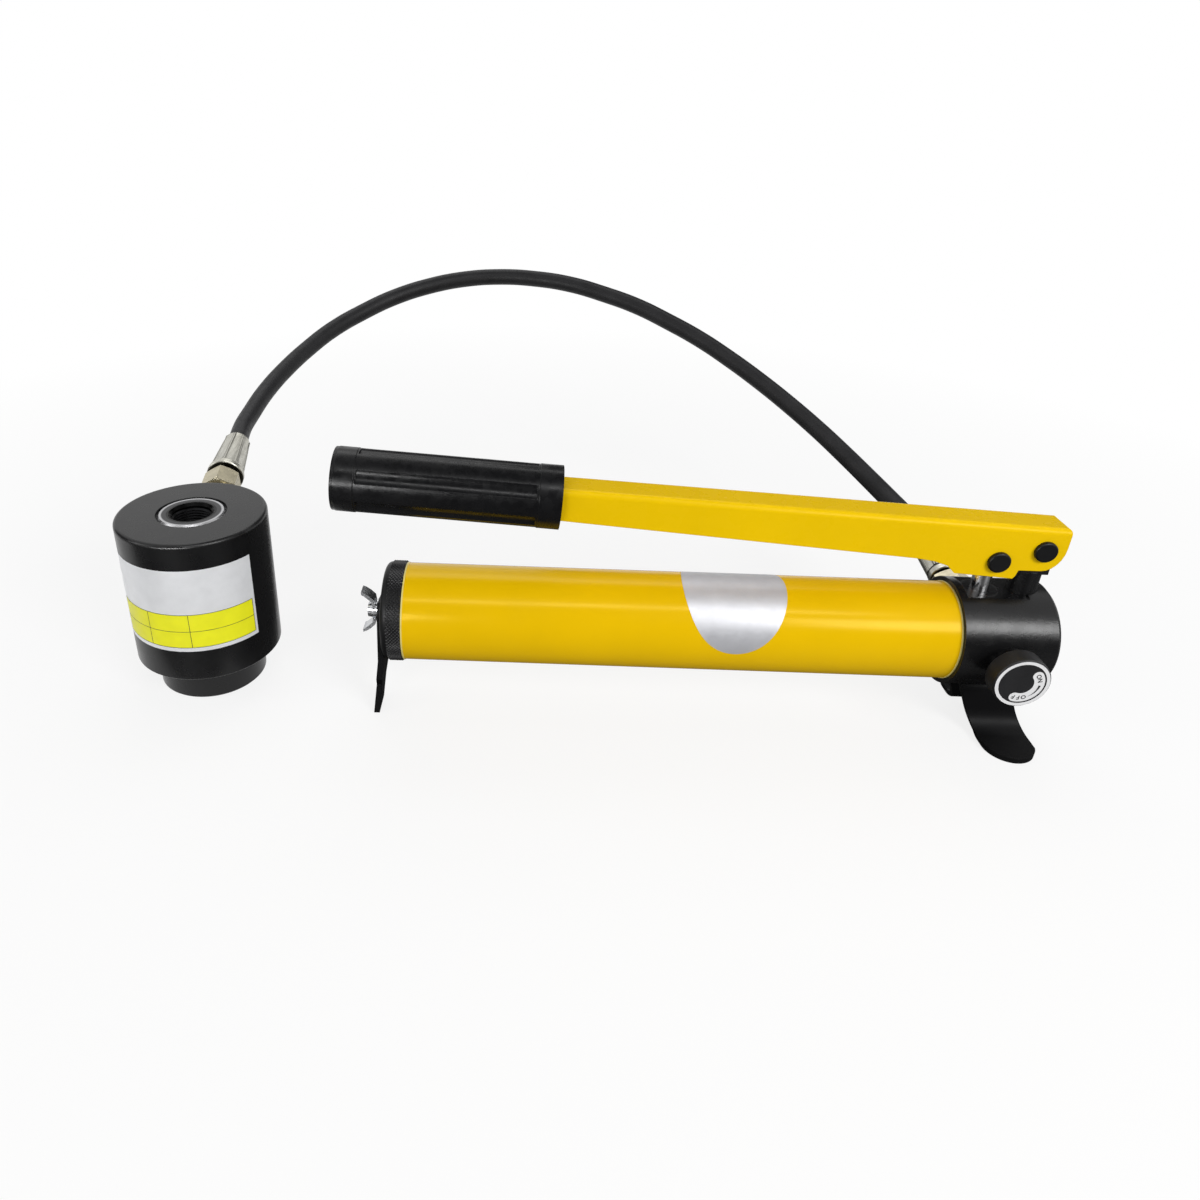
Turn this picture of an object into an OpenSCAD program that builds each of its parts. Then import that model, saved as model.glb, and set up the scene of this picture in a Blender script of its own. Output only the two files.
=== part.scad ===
// Hydraulic hole punch: a lever hand pump, its hose and the punch cylinder that it drives.
// The origin is the centre of the punch cylinder's base. X runs along the pump towards its head,
// Y away from the release knob's side, and Z up. Sizes are in millimetres.

/* [Punch cylinder] */
// Outside diameter of the punch cylinder
punch_d = 76; // [72:1:90]
// Height of the punch cylinder, floor to die face
punch_h = 98.5; // [92:0.5:115]
// Diameter of the rear cap that the cylinder stands on
rear_cap_d = 56; // [48:1:57]
// Height of the rear cap below the cylinder body
rear_cap_h = 19; // [14:0.5:24]
// Wall of the rear cap round the spring
rear_cap_wall = 5; // [4:0.5:7]
// Floor of the rear cap under the spring
rear_cap_floor = 8; // [6:0.5:12]
// Rounding of the body's top edge
body_edge = 2; // [1:0.5:4]
// Chamfer of the lower edges
low_chamfer = 1; // [0.5:0.5:3]
// Bore of the punch cylinder
bore_d = 58; // [56:0.5:62]
// Thickness of the top wall that guides the ram
top_wall = 14.5; // [13:0.5:18]
// Height of the pressure chamber above the piston
chamber_h = 12; // [11:0.5:15]
// Width of the ledge that stops the piston
ledge_w = 4; // [2:0.5:5]

/* [Ram] */
// Diameter of the ram
ram_d = 34; // [30:0.5:38]
// Travel of the ram
ram_stroke = 25; // [15:1:27]
// Thickness of the piston
piston_t = 14; // [11:0.5:16]
// Diameter of the stem that the return spring goes round
stem_d = 28; // [20:1:30]
// Diameter of the hole for the draw stud
stud_d = 20; // [16:0.5:24]
// Depth of the hole for the draw stud
stud_depth = 40; // [25:1:42]
// Width of the countersink at the mouth of that hole
stud_sink = 1.5; // [0.5:0.25:2.5]
// Chamfer of the ram's end
ram_chamfer = 1; // [0.5:0.25:1.5]
// Wire of the return spring
spring_wire = 3.2; // [2.4:0.1:3.4]
// Turns of the return spring
spring_turns = 6; // [4:1:6]

/* [Seals and clearances] */
// Radial clearance of running fits
run_gap = 0.05; // [0.02:0.01:0.08]
// Radial clearance between still pieces
fit_gap = 0.05; // [0.02:0.01:0.1]
// Clearance between the sides of moving and still pieces
side_gap = 0.3; // [0.2:0.05:0.5]
// Radial depth of the lip seals
seal_depth = 2.5; // [2:0.25:3]
// Width of the lip seals
seal_w = 4; // [3:0.25:4.5]
// Cord of the O-rings in the pump
o_ring_cord = 2; // [1.6:0.1:2.4]

/* [Pump body] */
// Distance of the tube's cap end from the punch's axis
pump_x = 113; // [113:1:130]
// Sideways place of the pump's axis
pump_y = -19; // [-30:1:-10]
// Height of the pump's axis above the floor
pump_h = 55; // [50:0.5:70]
// Outside diameter of the reservoir tube
tube_d = 50; // [46:0.5:53]
// Wall of the reservoir tube
tube_wall = 3; // [2:0.25:4]
// Length of the reservoir tube
tube_len = 277; // [240:1:320]
// Diameter of the end cap
cap_d = 50.6; // [50:0.2:56]
// Length of the end cap outside the tube
cap_len = 10.5; // [9:0.5:16]
// Rounding of the end cap's rim
cap_edge = 3; // [1:0.25:4]
// Length of the spigots inside the tube
spigot_len = 12; // [9:0.5:16]
// Diameter of the pump head
head_d = 55; // [54:0.5:62]
// Length of the pump head
head_len = 47.4; // [46:0.2:56]
// Chamfer of the pump head's end
head_chamfer = 2; // [0.5:0.5:3]

/* [Lever] */
// Distance of the fulcrum pin from the head's shoulder
fulcrum_in = 34.3; // [33:0.1:36]
// Height of the fulcrum pin above the pump's axis
fulcrum_up = 52.3; // [50:0.1:58]
// Distance between the plunger pin and the fulcrum pin along the pump
pin_back = 20.8; // [20:0.1:22]
// Drop of the plunger pin below the fulcrum pin
pin_drop = 6.5; // [5:0.1:8]
// Diameter of the lever's pins
pin_d = 8; // [6:0.5:8.5]
// Diameter of the pins' heads
pin_head_d = 10.8; // [10:0.2:13]
// Height of the pins' heads
pin_head_h = 2.2; // [1.5:0.1:3]
// Width of the lever
lever_w = 19; // [18.5:0.25:22]
// Sheet that the lever is folded from
sheet_t = 2.5; // [2:0.1:2.6]
// Outer radius of the lever's folds
bend_r = 3; // [2.6:0.1:4]
// Height of the lever's top above the fulcrum pin
lever_crown = 12; // [11.5:0.25:15]
// Depth of the lever's side below the fulcrum pin
lever_skirt = 11; // [9.5:0.25:12]
// Slope of the lever's top
top_slope = 2.8; // [2:0.1:3.2]
// Slope of the lever's lower edge
low_slope = 4.5; // [3.5:0.1:4.8]
// Length of the lever beyond the fulcrum pin
lever_nose = 10.5; // [9:0.25:13]
// Depth of the lever's ear below the plunger pin
ear_below = 9.2; // [8:0.2:10]

/* [Grip] */
// Distance from the fulcrum pin to the grip
grip_reach = 234.3; // [215:0.1:260]
// Length of the grip
grip_len = 109.6; // [95:0.2:130]
// Slope of the grip
grip_slope = 3.3; // [2.8:0.1:4]
// Diameter of the grip
grip_d = 31; // [29:0.5:36]
// Extra diameter of the grip's end collars
collar_extra = 0.5; // [0.25:0.25:3]
// Length of the grip's end collars
collar_len = 11; // [8:0.5:14]
// Number of flutes round the grip
flutes = 6; // [5:1:8]
// Radius of a flute
flute_r = 7; // [5:0.5:9]
// Depth of a flute
flute_depth = 1.3; // [0.8:0.1:1.6]

/* [Plunger and valves] */
// Diameter of the plunger
plunger_d = 9; // [8:0.25:11]
// Diameter of the plunger's gland
gland_d = 17; // [16:0.5:19]
// Diameter of the fulcrum post
post_d = 14; // [12:0.5:15]
// Distance of the release valve from the head's shoulder
release_in = 23.2; // [22.5:0.1:24]
// Drop of the release valve below the pump's axis
release_drop = 2.6; // [1:0.1:4]
// Diameter of the release knob
knob_d = 27; // [24:0.5:32]
// Thickness of the release knob
knob_t = 9; // [7:0.5:12]
// Diameter of the release valve's stem
stem_valve_d = 12; // [10:0.5:12.5]
// Length of the release valve's gland outside the head
release_collar = 5; // [3:0.25:8]
// Radius of the check valves' balls
ball_r = 3; // [2.5:0.1:3.4]
// Lift of the check valves' balls
ball_lift = 1; // [0.5:0.1:1.2]

/* [Feet] */
// Thickness of the feet's plate
foot_t = 3; // [2:0.25:4]
// Width of the front foot
foot_w = 26; // [20:0.5:28]
// Reach of the front foot's toes from the pump's axis
toe_reach = 38; // [34:0.5:48]
// Forward lean of the front foot's legs
toe_lean = 10.5; // [6:0.5:12]
// Distance of the front foot from the head's shoulder
foot_in = 14; // [13:0.5:16]
// Width of the rear foot's paddle
rear_foot_w = 26; // [22:0.5:32]
// Width of the rear foot's leg
rear_toe_w = 14; // [10:0.5:18]
// Height of the rear foot's plate above the wing screw
rear_foot_up = 8; // [7:0.5:12]
// Swing of the rear foot towards the release knob's side
rear_swing = 8.5; // [0:0.5:12]
// Outward lean of the rear foot's leg
rear_lean = 5.9; // [3:0.1:7]
// Diameter of the wing screw's thread
wing_d = 6; // [5:0.5:8]
// Span of the wings
wing_span = 24; // [20:0.5:30]
// Reach of the wings past their hub
wing_reach = 5; // [3:0.5:8]

/* [Hose fittings] */
// Diameter of the hose
hose_d = 12; // [10:0.5:14]
// Direction of the punch's port, from X towards Y
port_turn = 96; // [80:1:110]
// Upward slope of the punch's port
port_rise = 8; // [5:0.5:9]
// Depth of the punch's port below the die face, at the punch's axis
port_drop = 23.7; // [22.5:0.1:24]
// Length of the stem on the punch's adapter
adapter_stem = 12; // [6:0.1:25]
// Distance of the outlet port from the head's shoulder
outlet_in = 20; // [19.5:0.1:20.5]
// Upward slope of the outlet port
outlet_rise = 10; // [8:0.5:11]
// Drop of the outlet port below the pump's axis, at that axis
outlet_drop = 3.2; // [2.5:0.1:4]
// Thread of the ports
port_d = 10; // [9:0.25:10.5]
// Size of the fittings' hexagons across flats
hex_af = 19; // [17:0.25:20]
// Length of the punch adapter's hexagon
hex_len = 10; // [7:0.25:14]
// Length of the pump adapter's collar
collar_h = 2.8; // [2:0.1:6]
// Length of the hose nuts
nut_len = 14.5; // [12:0.25:18]
// Length of the crimped ferrules
ferrule_len = 41; // [30:0.5:48]
// Diameter of the crimped ferrules
ferrule_d = 16.4; // [15.5:0.1:19]
// Widening of the punch's ferrule towards its nut
ferrule_flare = 3.2; // [0:0.1:4]

/* [Hidden] */
$fn = 96;
cut = 1;

black_paint = [0.07, 0.07, 0.08];
black_rubber = [0.05, 0.05, 0.05];
pump_yellow = [0.93, 0.74, 0.03];
bright_steel = [0.75, 0.76, 0.78];
nickel = [0.72, 0.69, 0.60];
dark_steel = [0.30, 0.31, 0.33];
brass = [0.72, 0.56, 0.25];

// Heights in the punch cylinder
punch_r = punch_d / 2;
bore_r = bore_d / 2;
ram_r = ram_d / 2;
ledge_z = punch_h - top_wall - chamber_h;
piston_z = ledge_z - piston_t;
stop_margin = 1;
cap_top_z = piston_z - ram_stroke - stop_margin;
pocket_r = rear_cap_d / 2 - rear_cap_wall;
spring_margin = 1;
spring_r = pocket_r - spring_margin - spring_wire / 2;
stem_z = rear_cap_floor + ram_stroke + 2 * stop_margin;
seal_land = 3;
rod_seal_z = punch_h - top_wall + seal_land;
wiper_w = 3;
wiper_depth = 1.5;
rim_gap = 0.8;
rim_depth = 1.5;
wiper_land = 1;
wiper_z = punch_h - rim_depth - wiper_land - wiper_w;

// Lines of the hand pump
head_x = pump_x + tube_len;
head_r = head_d / 2;
tube_r = tube_d / 2;
tube_in_r = tube_r - tube_wall;
spigot_r = tube_in_r - fit_gap;
groove_at = spigot_len / 2;
cap_x = pump_x - cap_len;
cap_web = 7;
cap_hollow_wall = 4;
cap_hollow_r = spigot_r - o_ring_cord - cap_hollow_wall;
head_flat = 2;
head_top_z = pump_h + head_r - head_flat;
foot_flat = 1;
foot_top_z = pump_h - head_r + foot_flat;

// Lever and plunger
fulcrum_x = head_x + fulcrum_in;
fulcrum_z = pump_h + fulcrum_up;
plunger_x = fulcrum_x - pin_back;
plunger_pin_z = fulcrum_z - pin_drop;
lever_in_w = lever_w - 2 * sheet_t;
lever_near_y = pump_y - lever_w / 2;
lever_far_y = pump_y + lever_w / 2;
tang_short = 12;
tang_end = grip_reach + grip_len - tang_short;
tenon_t = lever_in_w - 2 * side_gap;
plunger_r = plunger_d / 2;
chamber_below = 9;
chamber_above = 1;
chamber_low_z = pump_h - chamber_below;
chamber_top_z = pump_h + chamber_above;
chamber_wide_r = plunger_r + chamber_above;
plunger_lift = 3;
plunger_low_z = chamber_low_z + plunger_lift;
gland_len = 10.5;
plunger_seal_r = plunger_r + seal_depth;
slot_half = pin_d / 2 + side_gap;
slot_aft = 1.2;
slot_fore = 1.7;
slot_up = 0.1;
eye_wall = 3;
eye_low_z = plunger_pin_z - slot_half - eye_wall;

// Release valve, along Y towards the viewer
release_x = head_x + release_in;
release_z = pump_h - release_drop;
release_face_y = pump_y - sqrt(head_r * head_r - release_drop * release_drop);
collar_seat_y = release_face_y + 2;
collar_face_y = release_face_y - release_collar;
knob_back_y = collar_face_y - 2 * side_gap;
release_short = 11;
release_in_y = pump_y - release_short;
release_bore_r = stem_valve_d / 2;
stem_r = release_bore_r - run_gap;
stem_ring_y = collar_seat_y + 2 * o_ring_cord;
collar_r = release_bore_r + 4;

// Suction and delivery valves
valve_r = ball_r + 1.5;
suction_z = plunger_low_z;
suction_x = head_x - spigot_len;
seat_len = 7;
seat_hole_r = 2;
seat_gap = 0.06;
ball_seat = sqrt(ball_r * ball_r - seat_hole_r * seat_hole_r) + seat_gap;
suction_end_x = head_x + 4;
delivery_seat_t = 9;
delivery_spring_len = 4;
adapter_in_t = delivery_seat_t + ball_seat + ball_r + delivery_spring_len;
relief_off = 11;
relief_drop = 1.5;
relief_depth = 16;
relief_y = pump_y + relief_off;
relief_z = pump_h - relief_drop;
relief_r = 4;
relief_ball_r = 2;
relief_in_x = head_x + head_len - relief_depth;
relief_screw_len = 6;
passage_r = 1.5;

// Hose ports, measured along their axes from the punch's or the head's axis
hex_r = hex_af / 2 / cos(30);
hex_turned = 0.3;
port_r = port_d / 2;
inlet_spot = 3.4;
outlet_spot = 2.8;
spot_r = hex_r + 0.4;
inlet_seat_t = punch_r - inlet_spot;
outlet_seat_t = head_r - outlet_spot;
neck_len = 3.6;
nut_clear = 0.5;
tail_len = 4;
tail_r = 4;
nose_len = nut_len - tail_len - 1;
inlet_z = punch_h - port_drop;
outlet_x = head_x + outlet_in;
outlet_z = pump_h - outlet_drop;
inlet_nut_t = inlet_seat_t + hex_len + adapter_stem + nut_clear;
outlet_nut_t = outlet_seat_t + collar_h + nut_clear;
inlet_mouth_t = inlet_nut_t + nut_len + neck_len + ferrule_len;
outlet_mouth_t = outlet_nut_t + nut_len + neck_len + ferrule_len;
inlet_dir = [cos(port_rise) * cos(port_turn), cos(port_rise) * sin(port_turn), sin(port_rise)];
outlet_dir = [0, cos(outlet_rise), sin(outlet_rise)];
inlet_mouth = [0, 0, inlet_z] + inlet_mouth_t * inlet_dir;
outlet_mouth = [outlet_x, pump_y, outlet_z] + outlet_mouth_t * outlet_dir;

// Route of the hose's bend between its straight ends
inlet_lead = 22;
outlet_lead = 8;
hose_bend = [
    [-13.5, 150.5, 97], [-10, 177.5, 104], [-2.5, 203.5, 112], [9, 228, 121], [24, 250, 130.5],
    [43.5, 268.5, 139.5], [65.5, 283.5, 148], [91, 294.5, 155], [118, 300.5, 160], [146.5, 302, 162.5],
    [174.5, 299, 162.5], [202, 292, 160.5], [228, 281.5, 156], [252.5, 269, 150.5], [275.5, 254, 143],
    [297, 238, 135], [317.5, 220, 125.5], [336, 201, 116], [353.5, 181, 106], [369.5, 160, 96],
    [384, 137.5, 86], [396.5, 114, 77], [406, 88.5, 70.5]
];
hose_route = concat(
    [inlet_mouth, inlet_mouth + inlet_lead * inlet_dir],
    hose_bend,
    [outlet_mouth + outlet_lead * outlet_dir, outlet_mouth]
);
hose_sides = 12;

// Direction from point to point of a route
function unit(v) = v / norm(v);
function route_dir(route, i) =
    unit(route[min(i + 1, len(route) - 1)] - route[max(i - 1, 0)]);
function ring_at(p, dir, r, sides) =
    let (side = unit(cross(dir, [0, 0, 1])), up = cross(side, dir))
    [for (k = [0 : sides - 1]) p + r * (cos(360 * k / sides) * side + sin(360 * k / sides) * up)];
function helix(r, pitch, turns, steps) =
    [for (i = [0 : turns * steps]) [r * cos(360 * i / steps), r * sin(360 * i / steps), pitch * i / steps]];

// One unbroken tube along a route
module swept_tube(route, r, sides) {
    rings = len(route);
    last = (rings - 1) * sides;
    points = [for (i = [0 : rings - 1]) each ring_at(route[i], route_dir(route, i), r, sides)];
    walls = [
        for (i = [0 : rings - 2], k = [0 : sides - 1])
            let (a = i * sides + k, b = i * sides + (k + 1) % sides)
            each [[a, b, b + sides], [a, b + sides, a + sides]]
    ];
    ends = [for (k = [1 : sides - 2]) each [[0, k + 1, k], [last, last + k, last + k + 1]]];
    polyhedron(points, concat(walls, ends));
}

// Coil spring that stands on its axis, from z = 0 to its length
module coil(length, r, wire, turns) {
    steps = 16;
    translate([0, 0, wire / 2])
        swept_tube(helix(r, (length - wire) / turns, turns, steps), wire / 2, 6);
}

// Turned slug with a rounded upper rim
module slug(r, h, edge) {
    rotate_extrude() {
        square([r - edge, h]);
        square([r, h - edge]);
        translate([r - edge, h - edge]) circle(edge);
    }
}

// Plain turned ring
module turned_ring(r_out, r_in, h) {
    difference() {
        cylinder(r = r_out, h = h);
        translate([0, 0, -cut]) cylinder(r = r_in, h = h + 2 * cut);
    }
}

// Cutter that chamfers the lower edge of a round piece
module low_chamfer_cut(r, size) {
    difference() {
        translate([0, 0, -cut]) cylinder(r = r + cut, h = size + cut);
        cylinder(r1 = r - size, r2 = r, h = size);
    }
}

// Places for what lies along X on the pump's axis, and along the two hose ports
module on_pump(x) { translate([x, pump_y, pump_h]) rotate([0, 90, 0]) children(); }
module on_inlet(t) {
    translate([0, 0, inlet_z]) rotate([0, 0, port_turn]) rotate([0, 90 - port_rise, 0])
        translate([0, 0, t]) children();
}
module on_outlet(t) {
    translate([outlet_x, pump_y, outlet_z]) rotate([0, 0, 90]) rotate([0, 90 - outlet_rise, 0])
        translate([0, 0, t]) children();
}
// Place on the release valve's axis, pointing into the head
module on_release(y) { translate([release_x, y, release_z]) rotate([-90, 0, 0]) children(); }
// Side outline at the fulcrum pin, spread across the pump
module across_lever(w) {
    translate([fulcrum_x, pump_y + w / 2, fulcrum_z]) rotate([90, 0, 0]) linear_extrude(w) children();
}
// Pin through the lever at one of its pivots
module through_lever(x, z, from_y) { translate([x, from_y, z]) rotate([-90, 0, 0]) children(); }

// Pressure body of the punch
module cylinder_body() {
    body_len = punch_h - rear_cap_h;
    color(black_paint)
    difference() {
        translate([0, 0, rear_cap_h]) slug(punch_r, body_len, body_edge);
        translate([0, 0, rear_cap_h]) low_chamfer_cut(punch_r, low_chamfer);
        translate([0, 0, rear_cap_h - cut]) cylinder(r = bore_r, h = ledge_z - rear_cap_h + cut);
        translate([0, 0, ledge_z - cut]) cylinder(r = bore_r - ledge_w, h = chamber_h + cut);
        cylinder(r = ram_r + run_gap, h = punch_h + cut);
        translate([0, 0, rod_seal_z]) cylinder(r = ram_r + seal_depth, h = seal_w);
        translate([0, 0, wiper_z]) cylinder(r = ram_r + wiper_depth, h = wiper_w);
        translate([0, 0, punch_h - rim_depth]) cylinder(r = ram_r + rim_gap, h = rim_depth + cut);
        on_inlet(inlet_seat_t) cylinder(r = spot_r, h = punch_r);
        on_inlet(bore_r - ledge_w - cut) cylinder(r = port_r / 2, h = punch_r);
        on_inlet(bore_r - ledge_w + 2) cylinder(r = port_r, h = punch_r);
    }
}

// Screwed rear cap with the spring's pocket
module cylinder_rear_cap() {
    color(black_paint)
    difference() {
        union() {
            cylinder(r = rear_cap_d / 2, h = rear_cap_h);
            translate([0, 0, rear_cap_h - cut]) cylinder(r = min(rear_cap_d / 2, bore_r - fit_gap), h = cut);
            translate([0, 0, rear_cap_h]) cylinder(r = bore_r - fit_gap, h = cap_top_z - rear_cap_h);
        }
        low_chamfer_cut(rear_cap_d / 2, low_chamfer);
        translate([0, 0, rear_cap_floor]) cylinder(r = pocket_r, h = punch_h);
    }
}

// Ram with its piston, pulled down by the oil and up by the spring
module ram() {
    sink_r = stud_d / 2 + stud_sink;
    color(bright_steel)
    difference() {
        union() {
            translate([0, 0, stem_z]) cylinder(r = stem_d / 2, h = piston_z - stem_z + cut);
            translate([0, 0, piston_z]) cylinder(r = bore_r - run_gap, h = piston_t);
            translate([0, 0, ledge_z - cut]) cylinder(r = ram_r, h = punch_h - ledge_z + cut - ram_chamfer);
            translate([0, 0, punch_h - ram_chamfer])
                cylinder(r1 = ram_r, r2 = ram_r - ram_chamfer, h = ram_chamfer);
        }
        translate([0, 0, punch_h - stud_depth]) cylinder(r = stud_d / 2, h = stud_depth + cut);
        translate([0, 0, punch_h - stud_sink])
            cylinder(r1 = stud_d / 2, r2 = sink_r + cut, h = stud_sink + cut);
        translate([0, 0, piston_z + (piston_t - seal_w) / 2])
            turned_ring(bore_r + cut, bore_r - seal_depth, seal_w);
    }
}

module piston_seal() {
    color(black_rubber)
    translate([0, 0, piston_z + (piston_t - seal_w) / 2])
        turned_ring(bore_r - run_gap, bore_r - seal_depth + fit_gap, seal_w);
}

module rod_seal() {
    color(black_rubber)
    translate([0, 0, rod_seal_z]) turned_ring(ram_r + seal_depth - fit_gap, ram_r + run_gap, seal_w);
}

module dust_wiper() {
    color(black_rubber)
    translate([0, 0, wiper_z]) turned_ring(ram_r + wiper_depth - fit_gap, ram_r + run_gap, wiper_w);
}

module return_spring() {
    color(dark_steel)
    translate([0, 0, rear_cap_floor])
        coil(piston_z - rear_cap_floor, spring_r, spring_wire, spring_turns);
}

// Hexagon with its corners turned off at both ends
module hexagon(length) {
    end_r = hex_af / 2 - hex_turned;
    out_r = hex_r + hex_turned;
    slope_h = (out_r - end_r) * 0.5;
    intersection() {
        cylinder(r = hex_r, h = length, $fn = 6);
        rotate_extrude()
            polygon([
                [0, 0], [end_r, 0], [out_r, slope_h], [out_r, length - slope_h], [end_r, length], [0, length]
            ]);
    }
}

// Adapter from a port's thread to the hose nut, with z = 0 at its seat. Its middle is the child shape
module adapter(thread_len, middle_len) {
    bored = port_r - 2;
    difference() {
        union() {
            translate([0, 0, -thread_len]) cylinder(r = port_r - fit_gap, h = thread_len + cut);
            children();
            translate([0, 0, middle_len - cut]) cylinder(r = port_r - fit_gap, h = nose_len + cut);
        }
        translate([0, 0, -thread_len - cut]) cylinder(r = bored, h = thread_len + middle_len + nose_len + 2 * cut);
    }
}

// Hose nut, with z = 0 at its open end
module hose_nut() {
    difference() {
        hexagon(nut_len);
        translate([0, 0, -cut]) cylinder(r = port_r, h = nut_len - tail_len + cut);
        cylinder(r = tail_r + fit_gap, h = nut_len + cut);
    }
}

// Crimped ferrule and its tail, with z = 0 at the nut's outer face and the hose at its far end
module hose_ferrule(flare) {
    collar = 4;
    flare_len = ferrule_len / 2;
    rest_len = ferrule_len - collar - flare_len;
    translate([0, 0, -tail_len]) cylinder(r = tail_r, h = tail_len + cut);
    cylinder(r = tail_r + 3, h = neck_len + cut);
    translate([0, 0, neck_len]) cylinder(r = (ferrule_d + flare) / 2, h = collar);
    translate([0, 0, neck_len + collar])
        cylinder(r1 = (ferrule_d + flare) / 2, r2 = ferrule_d / 2, h = flare_len);
    translate([0, 0, neck_len + collar + flare_len]) slug(ferrule_d / 2, rest_len, 1.5);
}

module inlet_adapter() {
    color(nickel)
    on_inlet(inlet_seat_t) adapter(inlet_seat_t - bore_r + ledge_w - 3, hex_len + adapter_stem) {
        hexagon(hex_len);
        translate([0, 0, hex_len - cut]) cylinder(r = port_r + 2, h = adapter_stem + cut);
    }
}
module hose_nut_punch() { color(nickel) on_inlet(inlet_nut_t) hose_nut(); }
module hose_ferrule_punch() { color(bright_steel) on_inlet(inlet_nut_t + nut_len) hose_ferrule(ferrule_flare); }
module hose() { color(black_rubber) swept_tube(hose_route, hose_d / 2, hose_sides); }
module hose_ferrule_pump() { color(bright_steel) on_outlet(outlet_nut_t + nut_len) hose_ferrule(0); }
module hose_nut_pump() { color(nickel) on_outlet(outlet_nut_t) hose_nut(); }
module outlet_adapter() {
    color(nickel)
    on_outlet(outlet_seat_t) adapter(outlet_seat_t - adapter_in_t, collar_h)
        cylinder(r = hex_af / 2, h = collar_h);
}

// Oil tank of the pump
module reservoir_tube() {
    color(pump_yellow) on_pump(pump_x) turned_ring(tube_r, tube_in_r, tube_len);
}

// Groove for an O-ring round a shaft of radius r, and the ring in it
module o_ring_groove(r) {
    translate([0, 0, -o_ring_cord * 0.6])
        turned_ring(r + cut, r - o_ring_cord - fit_gap, o_ring_cord * 1.2);
}
module o_ring(r) { rotate_extrude() translate([r - o_ring_cord / 2, 0]) circle(o_ring_cord / 2); }

// Screwed cap at the tube's end, drilled for the wing screw
module end_cap() {
    color(black_paint)
    on_pump(cap_x)
    difference() {
        union() {
            translate([0, 0, cap_len]) mirror([0, 0, 1]) slug(cap_d / 2, cap_len, cap_edge);
            translate([0, 0, cap_len - cut]) cylinder(r = spigot_r, h = spigot_len + cut);
        }
        translate([0, 0, cap_len + groove_at]) o_ring_groove(spigot_r);
        translate([0, 0, cap_web]) cylinder(r = cap_hollow_r, h = cap_len + spigot_len);
        translate([0, 0, -cut]) cylinder(r = wing_d / 2 + run_gap, h = cap_web + 2 * cut);
    }
}
module end_cap_o_ring() { color(black_rubber) on_pump(pump_x + groove_at) o_ring(spigot_r); }

// Wing screw that holds the rear foot and closes the filler hole
wing_hub_len = 5;
wing_hub_r = wing_d / 2 + 1.5;
washer_t = 1.2;
wing_seat_x = cap_x - foot_t - washer_t;
module wing_screw() {
    root = wing_hub_r - 1;
    tip = wing_span / 2;
    rise = tip - root;
    out = wing_hub_len + wing_reach - 2;
    color(bright_steel) {
        on_pump(wing_seat_x) {
            cylinder(r = wing_d / 2, h = washer_t + foot_t + cap_web);
            translate([0, 0, -wing_hub_len]) cylinder(r1 = wing_hub_r - 0.7, r2 = wing_hub_r, h = wing_hub_len);
        }
        for (side = [0, 1])
            translate([wing_seat_x, pump_y + wing_w / 2, pump_h]) mirror([0, 0, side]) rotate([90, 0, 0])
                linear_extrude(wing_w)
                    polygon([
                        [-1, root], [-1.5, root + rise * 0.45], [-out / 2, root + rise * 0.74],
                        [-out * 0.77, root + rise * 0.92], [-out, tip], [-out, tip - 1.7],
                        [-out * 0.83, tip - 2.4], [-out * 0.62, tip - 3.9], [-out * 0.36, tip - 5.9],
                        [-out * 0.32, root]
                    ]);
    }
}
wing_w = 7;
module wing_washer() {
    color(bright_steel) on_pump(wing_seat_x) turned_ring(wing_d, wing_d / 2 + fit_gap, washer_t);
}

// Paddle and leg that carry the cap end, turned about the wing screw
module rear_foot() {
    half = rear_foot_w / 2;
    toe = rear_toe_w / 2;
    bend_z = pump_h * 0.6;
    shoulder = pump_h * 0.63;
    lean = bend_z * tan(rear_lean);
    color(black_paint)
    intersection() {
        translate([cap_x - pump_h, pump_y, pump_h]) rotate([90, 0, 90]) rotate([0, 0, -rear_swing])
            linear_extrude(2 * pump_h)
                difference() {
                    union() {
                        intersection() {
                            circle(half);
                            translate([-half, -half]) square([2 * half, half + rear_foot_up]);
                        }
                        polygon([
                            [-half, 0], [-half + 1, -shoulder], [-toe - 0.5, -shoulder - 5], [-toe, -2 * pump_h],
                            [toe, -2 * pump_h], [toe + 0.5, -shoulder - 5], [half - 1, -shoulder], [half, 0]
                        ]);
                    }
                    circle(wing_d / 2 + run_gap);
                }
        translate([cap_x, pump_y + pump_h, 0]) rotate([90, 0, 0]) linear_extrude(2 * pump_h)
            polygon([
                [0, 2 * pump_h], [0, bend_z], [-lean, 0], [-lean - foot_t, 0], [-foot_t, bend_z], [-foot_t, 2 * pump_h]
            ]);
    }
}

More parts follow.
